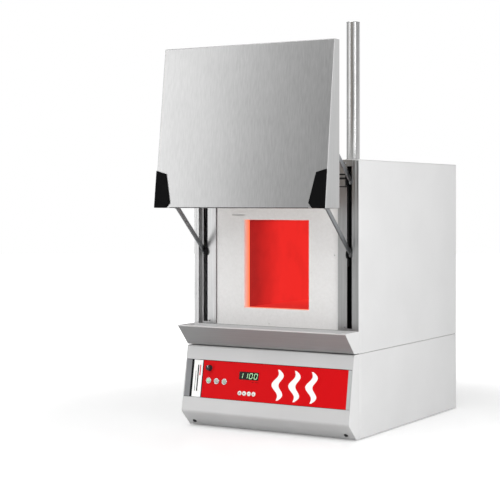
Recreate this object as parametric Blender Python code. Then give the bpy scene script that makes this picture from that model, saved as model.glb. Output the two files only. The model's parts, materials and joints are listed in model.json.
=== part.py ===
"""Laboratory ashing furnace with a counterbalanced lift-up door, shown open.

Shapes are drawn in millimetres in the furnace's frame: X to the right, Y into the
furnace from the front edge of its side panels, Z up from the floor.
"""

import math

import bmesh
import bpy
from mathutils import Matrix, Vector

MM = 0.001

# Driving dimensions, millimetres
half_width = 252.5          # outside of the side panels
case_depth = 637.0
case_top = 714.5
seam = 219.0                # between the base and the heating section
sheet = 1.5                 # panel steel
gap = 0.3                   # between pieces that touch
skirt = 2.0                 # lower edge of the panels

fascia_top = (-28.0, seam - 0.5)     # outlines in the side view are (y, z)
fascia_bend = (-58.0, 43.0)
fascia_toe = (-15.0, skirt)
fascia_sheet = 3.0
panel_mid = 132.0           # height of the control panel's middle
panel_half = 50.0           # half its height, measured vertically
overlay_thick = 1.2

trough_top = 276.0
trough_front = -78.0
trough_foot = (-27.0, 221.0)
trough_lip = 8.0

frame_front = 10.3          # stainless front frame, set back behind the case edge
frame_open = (186.0, trough_top, 690.0)        # half width, bottom, top
slot_x = (212.5, 226.0)     # long slots for the door arms
slot_z = (281.0, 697.0)
flange_x = 234.4            # inner edge of the case's front flange

aperture_half = 98.0        # chamber mouth
aperture_z = (323.0, 558.0)
board_y = (14.3, 42.0)      # ceramic front board
chamber_half = 100.0
chamber_rear = 442.0
chamber_roof = 563.0
insulation_half = 205.0
insulation_rear_y = 560.0
insulation_z = (seam + 2.0, 700.0)
heater_thick = 25.0
hearth_thick = 10.0

chimney_y = 467.0
chimney_radius = 19.0
chimney_wall = 1.2
chimney_z = (560.0, 1132.0)

arm_length = 187.0
arm_x = 223.0               # middle of the arms' thickness
arm_thick = 4.0
arm_wide = 12.0
arm_eye = 9.0               # radius of the rounded ends
arm_open = math.radians(42.2)        # arms above the horizontal, door open
pivot_y = 12.0
pivot_low = 471.0
pivot_rise = 186.6          # from the lower pivots to the upper ones
pin_radius = 4.0
pin_clear = 0.4             # between a pin and its hole

door_back = -110.0
door_bottom = 590.0
door_top = 1009.0
door_front_bottom = -184.0
door_front_top = -135.0
plug_thick = 15.5
door_pivot = (pivot_y - arm_length * math.cos(arm_open),
              pivot_low + arm_length * math.sin(arm_open))

switch_place = (-174.0, 161.0)       # places on the control panel are (x, height)
button_places = [(-174.0, 128.0), (-149.5, 128.0), (-125.0, 128.0)]
key_places = [(-75.0, 102.0), (-61.0, 102.0), (-46.5, 102.0), (-32.5, 102.0)]
display_place = (-51.2, 147.5)
display_size = (60.0, 21.0)
button_radius = 5.2
bezel_radius = 8.0
key_radius = 6.0

gland_place = (-180.0, 60.0)         # (x, z) on the rear of the base
foot_places = {"front_left": (-215.0, 35.0), "front_right": (215.0, 35.0),
               "rear_left": (-215.0, 600.0), "rear_right": (215.0, 600.0)}

reach_front = door_front_bottom - 4.3            # outermost points fore and aft
reach_rear = case_depth + 23.3
frame_shift = -(reach_front + reach_rear) / 2    # puts the box's middle on the origin

fascia_lean = math.atan2(fascia_top[0] - fascia_bend[0], fascia_top[1] - fascia_bend[1])


# Scene, frames and finishes

def clear_scene():
    for old in list(bpy.data.objects):
        bpy.data.objects.remove(old, do_unlink=True)
    for old in list(bpy.data.meshes):
        bpy.data.meshes.remove(old)


def add_frame(name, place, parent=None, turn=0.0):
    empty = bpy.data.objects.new(name, None)
    bpy.context.scene.collection.objects.link(empty)
    empty.parent = parent
    empty.location = Vector(place) * MM
    empty.rotation_euler = (turn, 0.0, 0.0)
    return empty


def finish(name, colour, roughness, metallic=0.0, glow=0.0):
    made = bpy.data.materials.new(name)
    made.use_nodes = True
    shader = made.node_tree.nodes["Principled BSDF"]
    shader.inputs["Base Color"].default_value = (*colour, 1.0)
    shader.inputs["Roughness"].default_value = roughness
    shader.inputs["Metallic"].default_value = metallic
    if glow:
        shader.inputs["Emission Color"].default_value = (*colour, 1.0)
        shader.inputs["Emission Strength"].default_value = glow
    return made


# Shapes, drawn in millimetres

def box(x, y, z):
    shape = bmesh.new()
    bmesh.ops.create_cube(shape, size=1.0)
    size = [high - low for low, high in (x, y, z)]
    middle = [(high + low) / 2 for low, high in (x, y, z)]
    bmesh.ops.scale(shape, vec=size, verts=shape.verts)
    bmesh.ops.translate(shape, vec=middle, verts=shape.verts)
    return shape


def prism(outline, axis, span):
    """Extrude an outline along an axis; its pairs are the two other axes in order."""
    def place(pair, depth):
        a, b = pair
        return {"x": (depth, a, b), "y": (a, depth, b), "z": (a, b, depth)}[axis]

    shape = bmesh.new()
    face = shape.faces.new([shape.verts.new(place(pair, span[0])) for pair in outline])
    grown = bmesh.ops.extrude_face_region(shape, geom=[face])["geom"]
    moved = [item for item in grown if isinstance(item, bmesh.types.BMVert)]
    bmesh.ops.translate(shape, vec=place((0, 0), span[1] - span[0]), verts=moved)
    return shape


def rod(radius, span, centre=(0.0, 0.0), axis="z", sides=16):
    """A round bar along an axis; centre is the two other axes in order."""
    return prism(arc(centre, radius, 0.0, 2 * math.pi, sides)[:-1], axis, span)


def turned(profile, sides=24):
    """Turn a closed outline of (radius, height) pairs about Z."""
    shape = bmesh.new()
    ring = [shape.verts.new((r, 0.0, h)) for r, h in profile]
    face = shape.faces.new(ring)
    edges = list(face.edges)
    bmesh.ops.delete(shape, geom=[face], context="FACES_ONLY")
    bmesh.ops.spin(shape, geom=ring + edges, axis=(0, 0, 1), cent=(0, 0, 0),
                   angle=2 * math.pi, steps=sides, use_duplicate=False)
    bmesh.ops.remove_doubles(shape, verts=shape.verts, dist=0.001)
    return shape


def turn_to(shape, angle, axis):
    bmesh.ops.rotate(shape, cent=(0, 0, 0), matrix=Matrix.Rotation(angle, 3, axis),
                     verts=shape.verts)
    return shape


def move(shape, offset):
    bmesh.ops.translate(shape, vec=offset, verts=shape.verts)
    return shape


def mirror_x(shape):
    bmesh.ops.scale(shape, vec=(-1, 1, 1), verts=shape.verts)
    bmesh.ops.reverse_faces(shape, faces=shape.faces)
    return shape


def several(shapes):
    """Put separate shapes in one mesh, for a cutter with many holes."""
    together = bmesh.new()
    for shape in shapes:
        made = bpy.data.meshes.new("piece")
        shape.to_mesh(made)
        shape.free()
        together.from_mesh(made)
        bpy.data.meshes.remove(made)
    return together


def arc(centre, radius, start, end, steps):
    return [(centre[0] + radius * math.cos(start + (end - start) * i / steps),
             centre[1] + radius * math.sin(start + (end - start) * i / steps))
            for i in range(steps + 1)]


def inset(outline, distance):
    """Move every side of a clockwise or anticlockwise outline inwards."""
    count = len(outline)
    area = sum(outline[i - 1][0] * outline[i][1] - outline[i][0] * outline[i - 1][1]
               for i in range(count))
    side = distance if area > 0 else -distance
    inner = []
    for i in range(count):
        before, here, after = (Vector(outline[i - 1]), Vector(outline[i]),
                               Vector(outline[(i + 1) % count]))
        a, b = (here - before).normalized(), (after - here).normalized()
        a_in, b_in = Vector((-a.y, a.x)) * side, Vector((-b.y, b.x)) * side
        turn = a.x * b.y - a.y * b.x
        step = (b_in - a_in).x * b.y - (b_in - a_in).y * b.x
        inner.append(tuple(here + a_in + a * (step / turn)))
    return inner


# Objects

frames = {}


def make_object(name, shape, parent):
    bmesh.ops.scale(shape, vec=(MM, MM, MM), verts=shape.verts)
    bmesh.ops.recalc_face_normals(shape, faces=shape.faces)
    mesh = bpy.data.meshes.new(name)
    shape.to_mesh(mesh)
    shape.free()
    made = bpy.data.objects.new(name, mesh)
    bpy.context.scene.collection.objects.link(made)
    made.parent = parent
    return made


def node(name, shape, look, frame="furnace", home=(0.0, 0.0, 0.0), smooth=False):
    """Add a sub-part drawn in a frame's coordinates, with its origin at home."""
    parent, parent_home = frames[frame]
    bmesh.ops.translate(shape, vec=-Vector(home), verts=shape.verts)
    made = make_object(name, shape, parent)
    made.location = (Vector(home) - Vector(parent_home)) * MM
    made.data.materials.append(look)
    if smooth:
        made.data.shade_smooth()
        made.data.set_sharp_from_angle(angle=math.radians(35))
    return made


def cut(target, shape, frame="furnace", operation="DIFFERENCE"):
    """Cut a shape out of a sub-part, or join it on with operation="UNION"."""
    cutter = make_object(f"{target.name}_tool_{len(target.modifiers) + 1}", shape, frames[frame][0])
    cutter.hide_render = True
    cutter.display_type = "WIRE"
    boolean = target.modifiers.new("cut", "BOOLEAN")
    boolean.operation = operation
    boolean.object = cutter
    return target


def join(target, shape, frame="furnace"):
    return cut(target, shape, frame, "UNION")


def both_sides(make):
    """Make a piece on the right and its mirror image on the left."""
    make("right", 1)
    make("left", -1)


def sided(shape, side):
    return shape if side > 0 else mirror_x(shape)


# Base

def build_base(look):
    node("base_plate", box((-250.7, 250.7), (1.8, case_depth - 1.8), (6.3, 8.3)), look["zinc"])
    for place, (x, y) in foot_places.items():
        profile = [(0.0, 0.0), (12.0, 0.0), (15.0, 2.0), (14.0, 6.0), (0.0, 6.0)]
        node(f"foot_{place}", move(turned(profile, 20), (x, y, 0.0)), look["rubber"], smooth=True)

    def side_panel(name, side):
        outline = [(238.0, 0.0), (half_width, 0.0), (half_width, case_depth), (238.0, case_depth),
                   (238.0, case_depth - sheet), (half_width - sheet, case_depth - sheet),
                   (half_width - sheet, sheet), (238.0, sheet)]
        shape = prism(outline, "z", (skirt, seam - 0.5))
        node(f"base_side_{name}", sided(shape, side), look["painted"])

    both_sides(side_panel)
    rear = node("base_rear_panel", box((-237.7, 237.7), (case_depth - sheet, case_depth), (8.6, 218.5)),
                look["painted"])
    vents = [box((60.0 + 18.0 * i, 66.0 + 18.0 * i), (630.0, 640.0), (60.0, 130.0)) for i in range(8)]
    vents.append(rod(10.6, (630.0, 640.0), gland_place, "y"))
    cut(rear, several(vents))


def build_electrics(look):
    # cable entry: an outer dome and a lock nut inside, with the panel held between them
    profile = [(5.0, -8.0), (14.0, -8.0), (14.0, -sheet - gap), (10.0, -sheet - gap), (10.0, gap),
               (14.0, gap), (14.0, 7.0), (11.0, 9.0), (10.0, 20.0), (7.0, 23.3), (5.0, 23.3)]
    gland = turn_to(turned(profile, 20), -math.pi / 2, "X")
    node("cable_gland", move(gland, (gland_place[0], case_depth, gland_place[1])), look["black"],
         smooth=True)
    low, root, tip = 8.6, 14.0, 44.0
    fins = [(57.0, low), (163.0, low), (163.0, root)]
    for i in range(9, -1, -1):
        left = 60.0 + i * 10.6
        fins += [(left + 4.6, root), (left + 4.6, tip), (left, tip), (left, root)]
    fins.append((57.0, root))
    node("relay_heat_sink", prism(fins, "y", (300.0, 380.0)), look["aluminium"])
    relay = box((88.0, 132.0), (312.0, 368.0), (tip + gap, 70.0))
    node("solid_state_relay", relay, look["black"])
    block = [(-200.0, low), (-140.0, low), (-140.0, 24.0)]
    for i in range(3, -1, -1):
        left = -200.0 + 15.0 * i
        block += [(left + 13.0, 24.0), (left + 11.0, 32.0), (left + 4.0, 32.0), (left + 2.0, 24.0)]
    block.append((-200.0, 24.0))
    node("terminal_block", prism(block, "y", (540.0, 562.0)), look["cream"])


# Control fascia and everything on it, drawn in the panel's own frame: X right, Y up the slope,
# Z out of the face

def on_panel(place):
    return place[0], (place[1] - panel_mid) / math.cos(fascia_lean)


def build_fascia(look):
    outline = [fascia_top, fascia_bend, fascia_toe, (-gap, skirt), (-gap, seam - 0.5)]
    fascia = node("control_fascia", prism(outline, "x", (-half_width, half_width)), look["fascia"])
    inner = inset([fascia_top, fascia_bend, fascia_toe, (40.0, skirt), (40.0, seam - 0.5)], fascia_sheet)
    cut(fascia, prism(inner, "x", (-half_width + sheet, half_width - sheet)))
    half = panel_half / math.cos(fascia_lean)
    pocket = box((-249.0, 250.0), (-half, half), (-overlay_thick - gap, 5.0))
    cut(fascia, pocket, "panel")

    overlay = node("control_overlay", box((-248.7, 249.7), (-half + gap, half - gap), (-overlay_thick, 0.0)),
                   look["red"], "panel")
    raised = several([rod(bezel_radius, (-0.6, 2.2), on_panel(p), sides=24) for p in button_places])
    join(overlay, raised, "panel")
    width, height = display_size
    x, y = on_panel(display_place)
    window = box((x - width / 2, x + width / 2), (y - height / 2, y + height / 2), (-9.0, 9.0))
    through = [window]
    through += [rod(3.6, (-9.0, 9.0), on_panel(switch_place))]
    through += [rod(button_radius + gap, (-9.0, 9.0), on_panel(p), sides=20) for p in button_places]
    through += [rod(key_radius + gap, (-9.0, 9.0), on_panel(p), sides=20) for p in key_places]
    holes = several(through)
    cut(overlay, holes.copy(), "panel")
    cut(fascia, holes, "panel")
    lens = box((x - width / 2 + gap, x + width / 2 - gap), (y - height / 2 + gap, y + height / 2 - gap),
               (-3.2, -0.3))
    node("display_window", lens, look["display"], "panel")


def build_controls(look):
    x, y = on_panel(switch_place)
    profile = [(0.0, -14.0), (3.0, -14.0), (3.0, 0.6), (8.2, 0.6), (8.2, 2.0), (7.4, 3.0), (6.9, 11.0),
               (6.2, 12.0), (0.0, 12.0)]
    node("power_switch_knob", move(turned(profile, 28), (x, y, 0.0)), look["black"], "panel",
         (x, y, 0.0), smooth=True)
    switch = node("rotary_switch", box((x - 12.0, x + 12.0), (y - 12.0, y + 12.0), (-30.0, -3.4)),
                  look["cream"], "panel")
    cut(switch, rod(3.6, (-16.0, 0.0), (x, y)), "panel")

    cap = [(0.0, -6.0), (button_radius, -6.0), (button_radius, 2.8), (4.4, 3.6), (2.4, 4.2), (0.0, 4.4)]
    for i, place in enumerate(button_places, 1):
        x, y = on_panel(place)
        node(f"push_button_{i}", move(turned(cap, 20), (x, y, 0.0)), look["lens"], "panel", (x, y, 0.0),
             smooth=True)
    places = [on_panel(p) for p in button_places]
    y = places[0][1]
    block = node("button_block", box((places[0][0] - 9.0, places[-1][0] + 9.0), (y - 8.0, y + 8.0),
                                     (-26.0, -3.4)), look["cream"], "panel")
    cut(block, several([rod(button_radius + gap, (-9.0, 0.0), p, sides=20) for p in places]), "panel")

    key = [(0.0, -2.4), (key_radius, -2.4), (key_radius, 0.6), (5.2, 1.1), (0.0, 1.2)]
    for i, place in enumerate(key_places, 1):
        x, y = on_panel(place)
        node(f"controller_key_{i}", move(turned(key, 20), (x, y, 0.0)), look["key"], "panel", (x, y, 0.0),
             smooth=True)
    x, y = on_panel(display_place)
    body = box((x - 48.0, x + 48.0), (y - 62.0, y + 16.0), (-70.0, -4.2))
    node("temperature_controller", body, look["black"], "panel")


# Heating section

def build_case(look):
    def side_panel(name, side):
        outline = [(flange_x, 10.0), (flange_x, 0.0), (half_width, 0.0), (half_width, case_depth),
                   (238.0, case_depth), (238.0, case_depth - sheet),
                   (half_width - sheet, case_depth - sheet), (half_width - sheet, sheet),
                   (flange_x + sheet, sheet), (flange_x + sheet, 10.0)]
        shape = prism(outline, "z", (seam + 0.5, case_top - sheet - gap))
        node(f"case_side_{name}", sided(shape, side), look["painted"])

    both_sides(side_panel)
    underside = case_top - sheet
    top = node("case_top", box((-half_width, half_width), (0.0, case_depth), (underside, case_top)),
               look["painted"])
    join(top, box((-234.0, 234.0), (0.0, sheet), (698.0, case_top - 0.5)))
    join(top, box((-237.7, 237.7), (case_depth - sheet, case_depth), (698.0, case_top - 0.5)))
    cut(top, rod(chimney_radius + 1.0, (700.0, 720.0), (0.0, chimney_y), sides=32))
    rear = node("case_rear", box((-237.7, 237.7), (case_depth - sheet, case_depth), (seam + 0.5, 697.7)),
                look["painted"])
    vents = [box((x - 45.0, x + 45.0), (630.0, 640.0), (300.0 + 24.0 * i, 306.0 + 24.0 * i))
             for x in (-120.0, 120.0) for i in range(9)]
    cut(rear, several(vents))
    node("deck_plate", box((-250.7, 250.7), (12.2, 635.2), (seam - 0.2, seam + 1.3)), look["zinc"])


def build_front(look):
    back = frame_front + sheet
    frame = node("front_frame", box((-250.6, 250.6), (frame_front, back), (seam + 1.7, 712.5)),
                 look["stainless"])
    half, low, high = frame_open
    windows = [box((-half, half), (0.0, 20.0), (low, high))]
    windows += [box(sorted((s * slot_x[0], s * slot_x[1])), (0.0, 20.0), slot_z) for s in (-1, 1)]
    cut(frame, several(windows))

    top, foot = (trough_front, trough_top), trough_foot
    outline = [top, foot, (-gap, foot[1]), (-gap, trough_top)]
    trough = node("loading_trough", prism(outline, "x", (-half_width, half_width)), look["stainless"])
    inner = (-half_width + sheet, half_width - sheet)
    cut(trough, prism(inset(outline, sheet), "x", inner))
    cut(trough, box(inner, (trough_front + trough_lip, -gap - sheet), (trough_top - 4.0, trough_top + 4.0)))


def build_chamber(look):
    half, (low, high), rear = insulation_half, insulation_z, insulation_rear_y
    start = board_y[1] + gap
    shell = half + 1.0
    outline = [(-shell - 1.2, low), (-shell - 1.2, high + 2.2), (shell + 1.2, high + 2.2), (shell + 1.2, low),
               (shell, low), (shell, high + 1.0), (-shell, high + 1.0), (-shell, low)]
    inner_shell = node("inner_shell", prism(outline, "y", (board_y[0] - 2.0, 600.0)), look["zinc"])
    cut(inner_shell, rod(chimney_radius + 1.0, (690.0, 712.0), (0.0, chimney_y), sides=32))

    board = node("insulation_front", box((-half, half), board_y, (low, high)), look["ceramic"])
    cut(board, box((-aperture_half, aperture_half), (0.0, 60.0), aperture_z))
    heater_out = chamber_half + heater_thick
    floor_top = aperture_z[0] - hearth_thick
    node("insulation_floor", box((-heater_out, heater_out), (start, chamber_rear), (low, floor_top - gap)),
         look["ceramic"])
    node("insulation_roof", box((-heater_out, heater_out), (start, chamber_rear), (chamber_roof + gap, high)),
         look["ceramic"])
    node("hearth_tile", box((-chamber_half + gap, chamber_half - gap), (start, chamber_rear - gap),
                            (floor_top, aperture_z[0])), look["hearth"])
    leads = [(s * (chamber_half + 12.5), z) for s in (-1, 1) for z in (340.0, 540.0)]

    def side_wall(name, side):
        wall = box((heater_out + gap, half), (start, rear), (low, high))
        node(f"insulation_{name}", sided(wall, side), look["ceramic"])
        plate = box((chamber_half, heater_out), (start, chamber_rear - gap), (floor_top, chamber_roof))
        panel = node(f"heater_panel_{name}", sided(plate, side), look["heater"])
        mine = [lead for lead in leads if lead[0] * side > 0]
        join(panel, several([rod(2.0, (chamber_rear - 5.0, 590.0), lead, "y", 12) for lead in mine]))

    both_sides(side_wall)
    probe = (50.0, 480.0)
    block = node("insulation_rear", box((-heater_out, heater_out), (chamber_rear + gap, rear), (low, high)),
                 look["ceramic"])
    bores = [rod(2.6, (430.0, 570.0), lead, "y", 12) for lead in leads]
    bores.append(rod(3.6, (430.0, 570.0), probe, "y", 12))
    cut(block, several(bores))
    cut(block, rod(chimney_radius + 0.6, (500.0, 710.0), (0.0, chimney_y), sides=32))
    cut(block, rod(12.0, (430.0, chimney_y), (0.0, 525.0), "y", 20))
    stem = [(0.0, 0.0), (3.0, 0.0), (3.0, 175.0), (11.0, 175.0), (11.0, 198.0), (0.0, 198.0)]
    sensor = turn_to(turned(stem, 16), -math.pi / 2, "X")
    node("thermocouple", move(sensor, (probe[0], 400.0, probe[1])), look["ceramic"], smooth=True)


def build_chimney(look):
    outer, inner = chimney_radius, chimney_radius - chimney_wall
    low, high = chimney_z
    tube = turned([(inner, low), (outer, low), (outer, high), (inner, high)], 32)
    node("chimney_tube", move(tube, (0.0, chimney_y, 0.0)), look["stainless"], smooth=True)
    base = case_top + gap
    fit = outer + gap
    profile = [(fit, base), (38.0, base), (38.0, base + 1.5), (fit + 2.5, base + 3.0),
               (fit + 2.5, base + 16.0), (fit, base + 16.0)]
    node("chimney_collar", move(turned(profile, 32), (0.0, chimney_y, 0.0)), look["stainless"], smooth=True)


# Door linkage

def build_pivot_rails(look):
    plate = (213.2, 217.0)
    eye = 12.0
    low, high = 440.0, 690.0

    def rail(name, side):
        outline = [(60.0, low), (60.0, high), (pivot_y, high)]
        for z in (pivot_low + pivot_rise, pivot_low):
            outline += arc((pivot_y, z), eye, math.pi / 2, 3 * math.pi / 2, 8)
        outline.append((pivot_y, low))
        made = node(f"pivot_rail_{name}", sided(prism(outline, "x", plate), side), look["zinc"])
        join(made, sided(box((208.0, plate[1] - 0.5), (58.5, 60.0), (low, high)), side))
        for z in (pivot_low, pivot_low + pivot_rise):
            pin = rod(pin_radius, (plate[1] - 1.0, slot_x[1] - 0.4), (pivot_y, z), "x")
            join(made, sided(pin, side))

    both_sides(rail)


def arm_shape():
    """A flat bar with round ends, from its frame pivot at the origin up to its door pivot."""
    half, spread = arm_wide / 2, math.asin(arm_wide / 2 / arm_eye)
    far = arc((arm_length, 0.0), arm_eye, spread - math.pi, math.pi - spread, 14)
    near = arc((0.0, 0.0), arm_eye, spread, 2 * math.pi - spread, 14)
    shape = prism(far + near, "x", (-arm_thick / 2, arm_thick / 2))
    return turn_to(shape, math.pi - arm_open, "X")


def build_arms(look):
    for name, z in (("lower", pivot_low), ("upper", pivot_low + pivot_rise)):
        for side_name, side in (("right", 1), ("left", -1)):
            home = (side * arm_x, pivot_y, z)
            arm = node(f"{name}_arm_{side_name}", move(arm_shape(), home), look["arm"], home=home)
            ends = [(pivot_y, z), (door_pivot[0], door_pivot[1] + z - pivot_low)]
            span = (side * arm_x - 5.0, side * arm_x + 5.0)
            cut(arm, several([rod(pin_radius + pin_clear, span, end, "x") for end in ends]))


# Door

def front_at(z, inset_by=0.0):
    """How far forward the door's sloping front is at a height."""
    rise = (z - door_bottom) / (door_top - door_bottom)
    return door_front_bottom + (door_front_top - door_front_bottom) * rise + inset_by


def build_door(look):
    home = (0.0, *door_pivot)
    outline = [(door_back, door_bottom), (door_front_bottom, door_bottom), (door_front_top, door_top),
               (door_back, door_top)]
    skin = node("door_skin", prism(outline, "x", (-half_width, half_width)), look["stainless"], "door", home)
    open_back = [(-60.0, door_bottom), *outline[1:3], (-60.0, door_top)]
    cut(skin, prism(inset(open_back, sheet), "x", (-half_width + sheet, half_width - sheet)))
    notches = [box(sorted((s * 212.0, s * 234.0)), (-140.0, -90.0), (580.0, 600.0)) for s in (-1, 1)]
    cut(skin, several(notches))

    pan_half, fold = 213.7, 15.0
    pan = [(-pan_half, door_back - fold), (-pan_half, door_back), (pan_half, door_back),
           (pan_half, door_back - fold), (pan_half - sheet, door_back - fold),
           (pan_half - sheet, door_back - sheet), (-pan_half + sheet, door_back - sheet),
           (-pan_half + sheet, door_back - fold)]
    node("door_inner_pan", prism(pan, "z", (door_bottom + 2.0, door_top - 2.0)), look["stainless"], "door", home)
    low, high = door_bottom + 4.0, door_top - 6.0
    fill = [(door_back - sheet - gap, low), (front_at(low, 3.0), low), (front_at(high, 3.0), high),
            (door_back - sheet - gap, high)]
    node("door_insulation", prism(fill, "x", (-200.0, 200.0)), look["ceramic"], "door", home)
    plug = box((-180.0, 180.0), (door_back + gap, door_back + plug_thick), (600.0, 995.0))
    node("door_plug", plug, look["ceramic"], "door", home)

    def corner_grip(name, side):
        corner = [(252.0, 590.5), (252.0, 687.0), (223.0, 679.0), (206.0, 603.0), (217.0, 590.5)]
        lean = math.atan2(door_front_top - door_front_bottom, door_top - door_bottom)
        local = [(x, (z - door_bottom) / math.cos(lean)) for x, z in corner]
        shape = turn_to(prism(local, "z", (gap, 4.3)), math.pi / 2 - lean, "X")
        shape = move(shape, (0.0, door_front_bottom, door_bottom))
        node(f"door_grip_{name}", sided(shape, side), look["grip"], "door", home)

    def arm_channel(name, side):
        wall, front, back = 2.0, -141.5, door_back - 2.0
        section = [(214.0, back), (214.0, front), (232.0, front), (232.0, back), (232.0 - wall, back),
                   (232.0 - wall, front + wall), (214.0 + wall, front + wall), (214.0 + wall, back)]
        channel = node(f"door_channel_{name}", sided(prism(section, "z", (600.0, 810.0)), side),
                       look["zinc"], "door", home)
        join(channel, sided(box((214.0, 216.0), (front, back), (592.0, 602.0)), side))
        join(channel, sided(box((230.0, 232.0), (front, back), (592.0, 602.0)), side))
        for z in (door_pivot[1], door_pivot[1] + pivot_rise):
            join(channel, sided(rod(pin_radius, (215.0, 231.0), (door_pivot[0], z), "x"), side))

    both_sides(corner_grip)
    both_sides(arm_channel)


def main():
    clear_scene()
    furnace = add_frame("furnace_frame", (0.0, frame_shift, 0.0))
    panel_y = fascia_top[0] - (fascia_top[1] - panel_mid) * math.tan(fascia_lean)
    panel = add_frame("panel_frame", (0.0, panel_y, panel_mid), furnace, math.pi / 2 - fascia_lean)
    door = add_frame("door_frame", (0.0, *door_pivot), furnace)
    frames.update(furnace=(furnace, (0.0, 0.0, 0.0)), panel=(panel, (0.0, 0.0, 0.0)),
                  door=(door, (0.0, *door_pivot)))
    look = {
        "painted": finish("powder_coated_steel", (0.78, 0.79, 0.80), 0.45),
        "fascia": finish("grey_powder_coated_steel", (0.60, 0.61, 0.62), 0.42),
        "stainless": finish("brushed_stainless_steel", (0.62, 0.62, 0.63), 0.32, 1.0),
        "arm": finish("bright_mild_steel", (0.36, 0.37, 0.38), 0.38, 1.0),
        "zinc": finish("zinc_plated_steel", (0.45, 0.46, 0.48), 0.4, 1.0),
        "aluminium": finish("extruded_aluminium", (0.7, 0.71, 0.72), 0.35, 1.0),
        "rubber": finish("black_rubber", (0.02, 0.02, 0.02), 0.8),
        "black": finish("black_nylon", (0.03, 0.03, 0.035), 0.5),
        "grip": finish("black_moulded_grip", (0.012, 0.012, 0.014), 0.4),
        "cream": finish("cream_plastic", (0.72, 0.68, 0.58), 0.5),
        "red": finish("red_printed_panel", (0.62, 0.01, 0.012), 0.3),
        "display": finish("smoked_display_lens", (0.01, 0.012, 0.01), 0.15),
        "lens": finish("translucent_button_lens", (0.85, 0.87, 0.82), 0.25),
        "key": finish("white_key_cap", (0.85, 0.85, 0.84), 0.35),
        "ceramic": finish("ceramic_fibre_board", (0.80, 0.79, 0.77), 0.9),
        "hearth": finish("hearth_ceramic", (0.85, 0.35, 0.12), 0.8, glow=1.0),
        "heater": finish("hot_heater_ceramic", (0.80, 0.05, 0.02), 0.8, glow=1.5),
    }
    build_base(look)
    build_electrics(look)
    build_fascia(look)
    build_controls(look)
    build_case(look)
    build_front(look)
    build_chamber(look)
    build_chimney(look)
    build_pivot_rails(look)
    build_arms(look)
    build_door(look)


main()
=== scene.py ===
import json
import math

import bmesh
import bpy
from mathutils import Matrix, Vector


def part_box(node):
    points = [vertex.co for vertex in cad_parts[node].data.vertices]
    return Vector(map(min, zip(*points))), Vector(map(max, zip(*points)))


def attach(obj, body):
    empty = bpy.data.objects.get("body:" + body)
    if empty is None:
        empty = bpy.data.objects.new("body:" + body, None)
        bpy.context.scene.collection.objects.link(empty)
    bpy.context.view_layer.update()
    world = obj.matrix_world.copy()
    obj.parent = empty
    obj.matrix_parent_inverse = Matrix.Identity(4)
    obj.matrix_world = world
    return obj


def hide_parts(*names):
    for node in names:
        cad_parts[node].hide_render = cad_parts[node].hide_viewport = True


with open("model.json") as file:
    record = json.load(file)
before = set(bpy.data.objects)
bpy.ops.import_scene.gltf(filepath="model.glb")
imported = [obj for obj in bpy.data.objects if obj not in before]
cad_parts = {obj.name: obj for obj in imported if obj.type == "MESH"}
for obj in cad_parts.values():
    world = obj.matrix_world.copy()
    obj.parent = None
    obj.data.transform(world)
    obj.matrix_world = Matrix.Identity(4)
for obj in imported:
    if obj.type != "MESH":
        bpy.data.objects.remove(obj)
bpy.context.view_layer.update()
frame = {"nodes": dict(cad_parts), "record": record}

mm = 0.001
sides = {"right": 1, "left": -1}
tiny = 1e-6         # vertices nearer than this, in metres, are one
nodes = frame["nodes"]
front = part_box("case_side_right")[0].y      # front edge of the side panels
print("frame loaded:", len(nodes), "nodes")


# working tools: a place is a vector in metres, and a size is in millimetres

def spot(x, y, z):      # millimetres from the middle of the front edge, at floor height
    return Vector((x * mm, front + y * mm, z * mm))


def sized(node):        # a CAD node's corners in the same millimetres
    low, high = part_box(node)
    return [Vector((c.x / mm, (c.y - front) / mm, c.z / mm)) for c in (low, high)]


def bothWays(side, near, far):      # the lower and the upper X of a stretch on one side
    return sorted((side * near, side * far))


def focus(piece):
    bpy.ops.object.select_all(action="DESELECT")
    piece.select_set(True)
    bpy.context.view_layer.objects.active = piece


def pick(kind, wanted):
    bpy.ops.mesh.select_all(action="DESELECT")
    mesh = bpy.context.edit_object.data
    shell = bmesh.from_edit_mesh(mesh)
    for part in {"VERT": shell.verts, "EDGE": shell.edges, "FACE": shell.faces}[kind]:
        if wanted(part):
            part.select_set(True)
    shell.select_flush_mode()
    bmesh.update_edit_mesh(mesh)


def openEdit(piece, kind, wanted):      # edit mode, with only the wanted verts, edges or faces selected
    focus(piece)
    bpy.ops.object.mode_set(mode="EDIT")
    bpy.ops.mesh.select_mode(type=kind)
    pick(kind, wanted)


def closeEdit():
    bpy.ops.object.mode_set(mode="OBJECT")


def everything(part):
    return True


def span(edge, axis):       # how far an edge runs along one axis, in millimetres
    return abs((edge.verts[0].co - edge.verts[1].co)[axis]) / mm


def middleOf(part):
    return sum((vert.co for vert in part.verts), Vector()) / len(part.verts)


def faceOutwards():
    pick("FACE", everything)
    bpy.ops.mesh.normals_make_consistent(inside=False)


def settle(piece):      # place, turn and scale go into the mesh
    focus(piece)
    bpy.ops.object.transform_apply(location=True, rotation=True, scale=True)
    return piece


def applyStep(piece, kind, **settings):
    focus(piece)
    step = piece.modifiers.new(kind.title(), kind)
    for name, value in settings.items():
        setattr(step, name, value)
    bpy.ops.object.modifier_apply(modifier=step.name)
    return piece


def shade(piece, degrees=32):
    focus(piece)
    bpy.ops.object.shade_smooth_by_angle(angle=math.radians(degrees))
    return piece


def softenEdges(piece, width, segments=2, degrees=40):
    applyStep(piece, "BEVEL", width=width * mm, segments=segments, limit_method="ANGLE",
              angle_limit=math.radians(degrees), harden_normals=False)
    shade(piece)
    return applyStep(piece, "WEIGHTED_NORMAL", keep_sharp=True, weight=60)     # flat faces stay flat


def newPrimitive(name, add, **settings):
    bpy.ops.object.select_all(action="DESELECT")
    add(**settings)
    piece = bpy.context.active_object
    piece.name = name
    return piece


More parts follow.
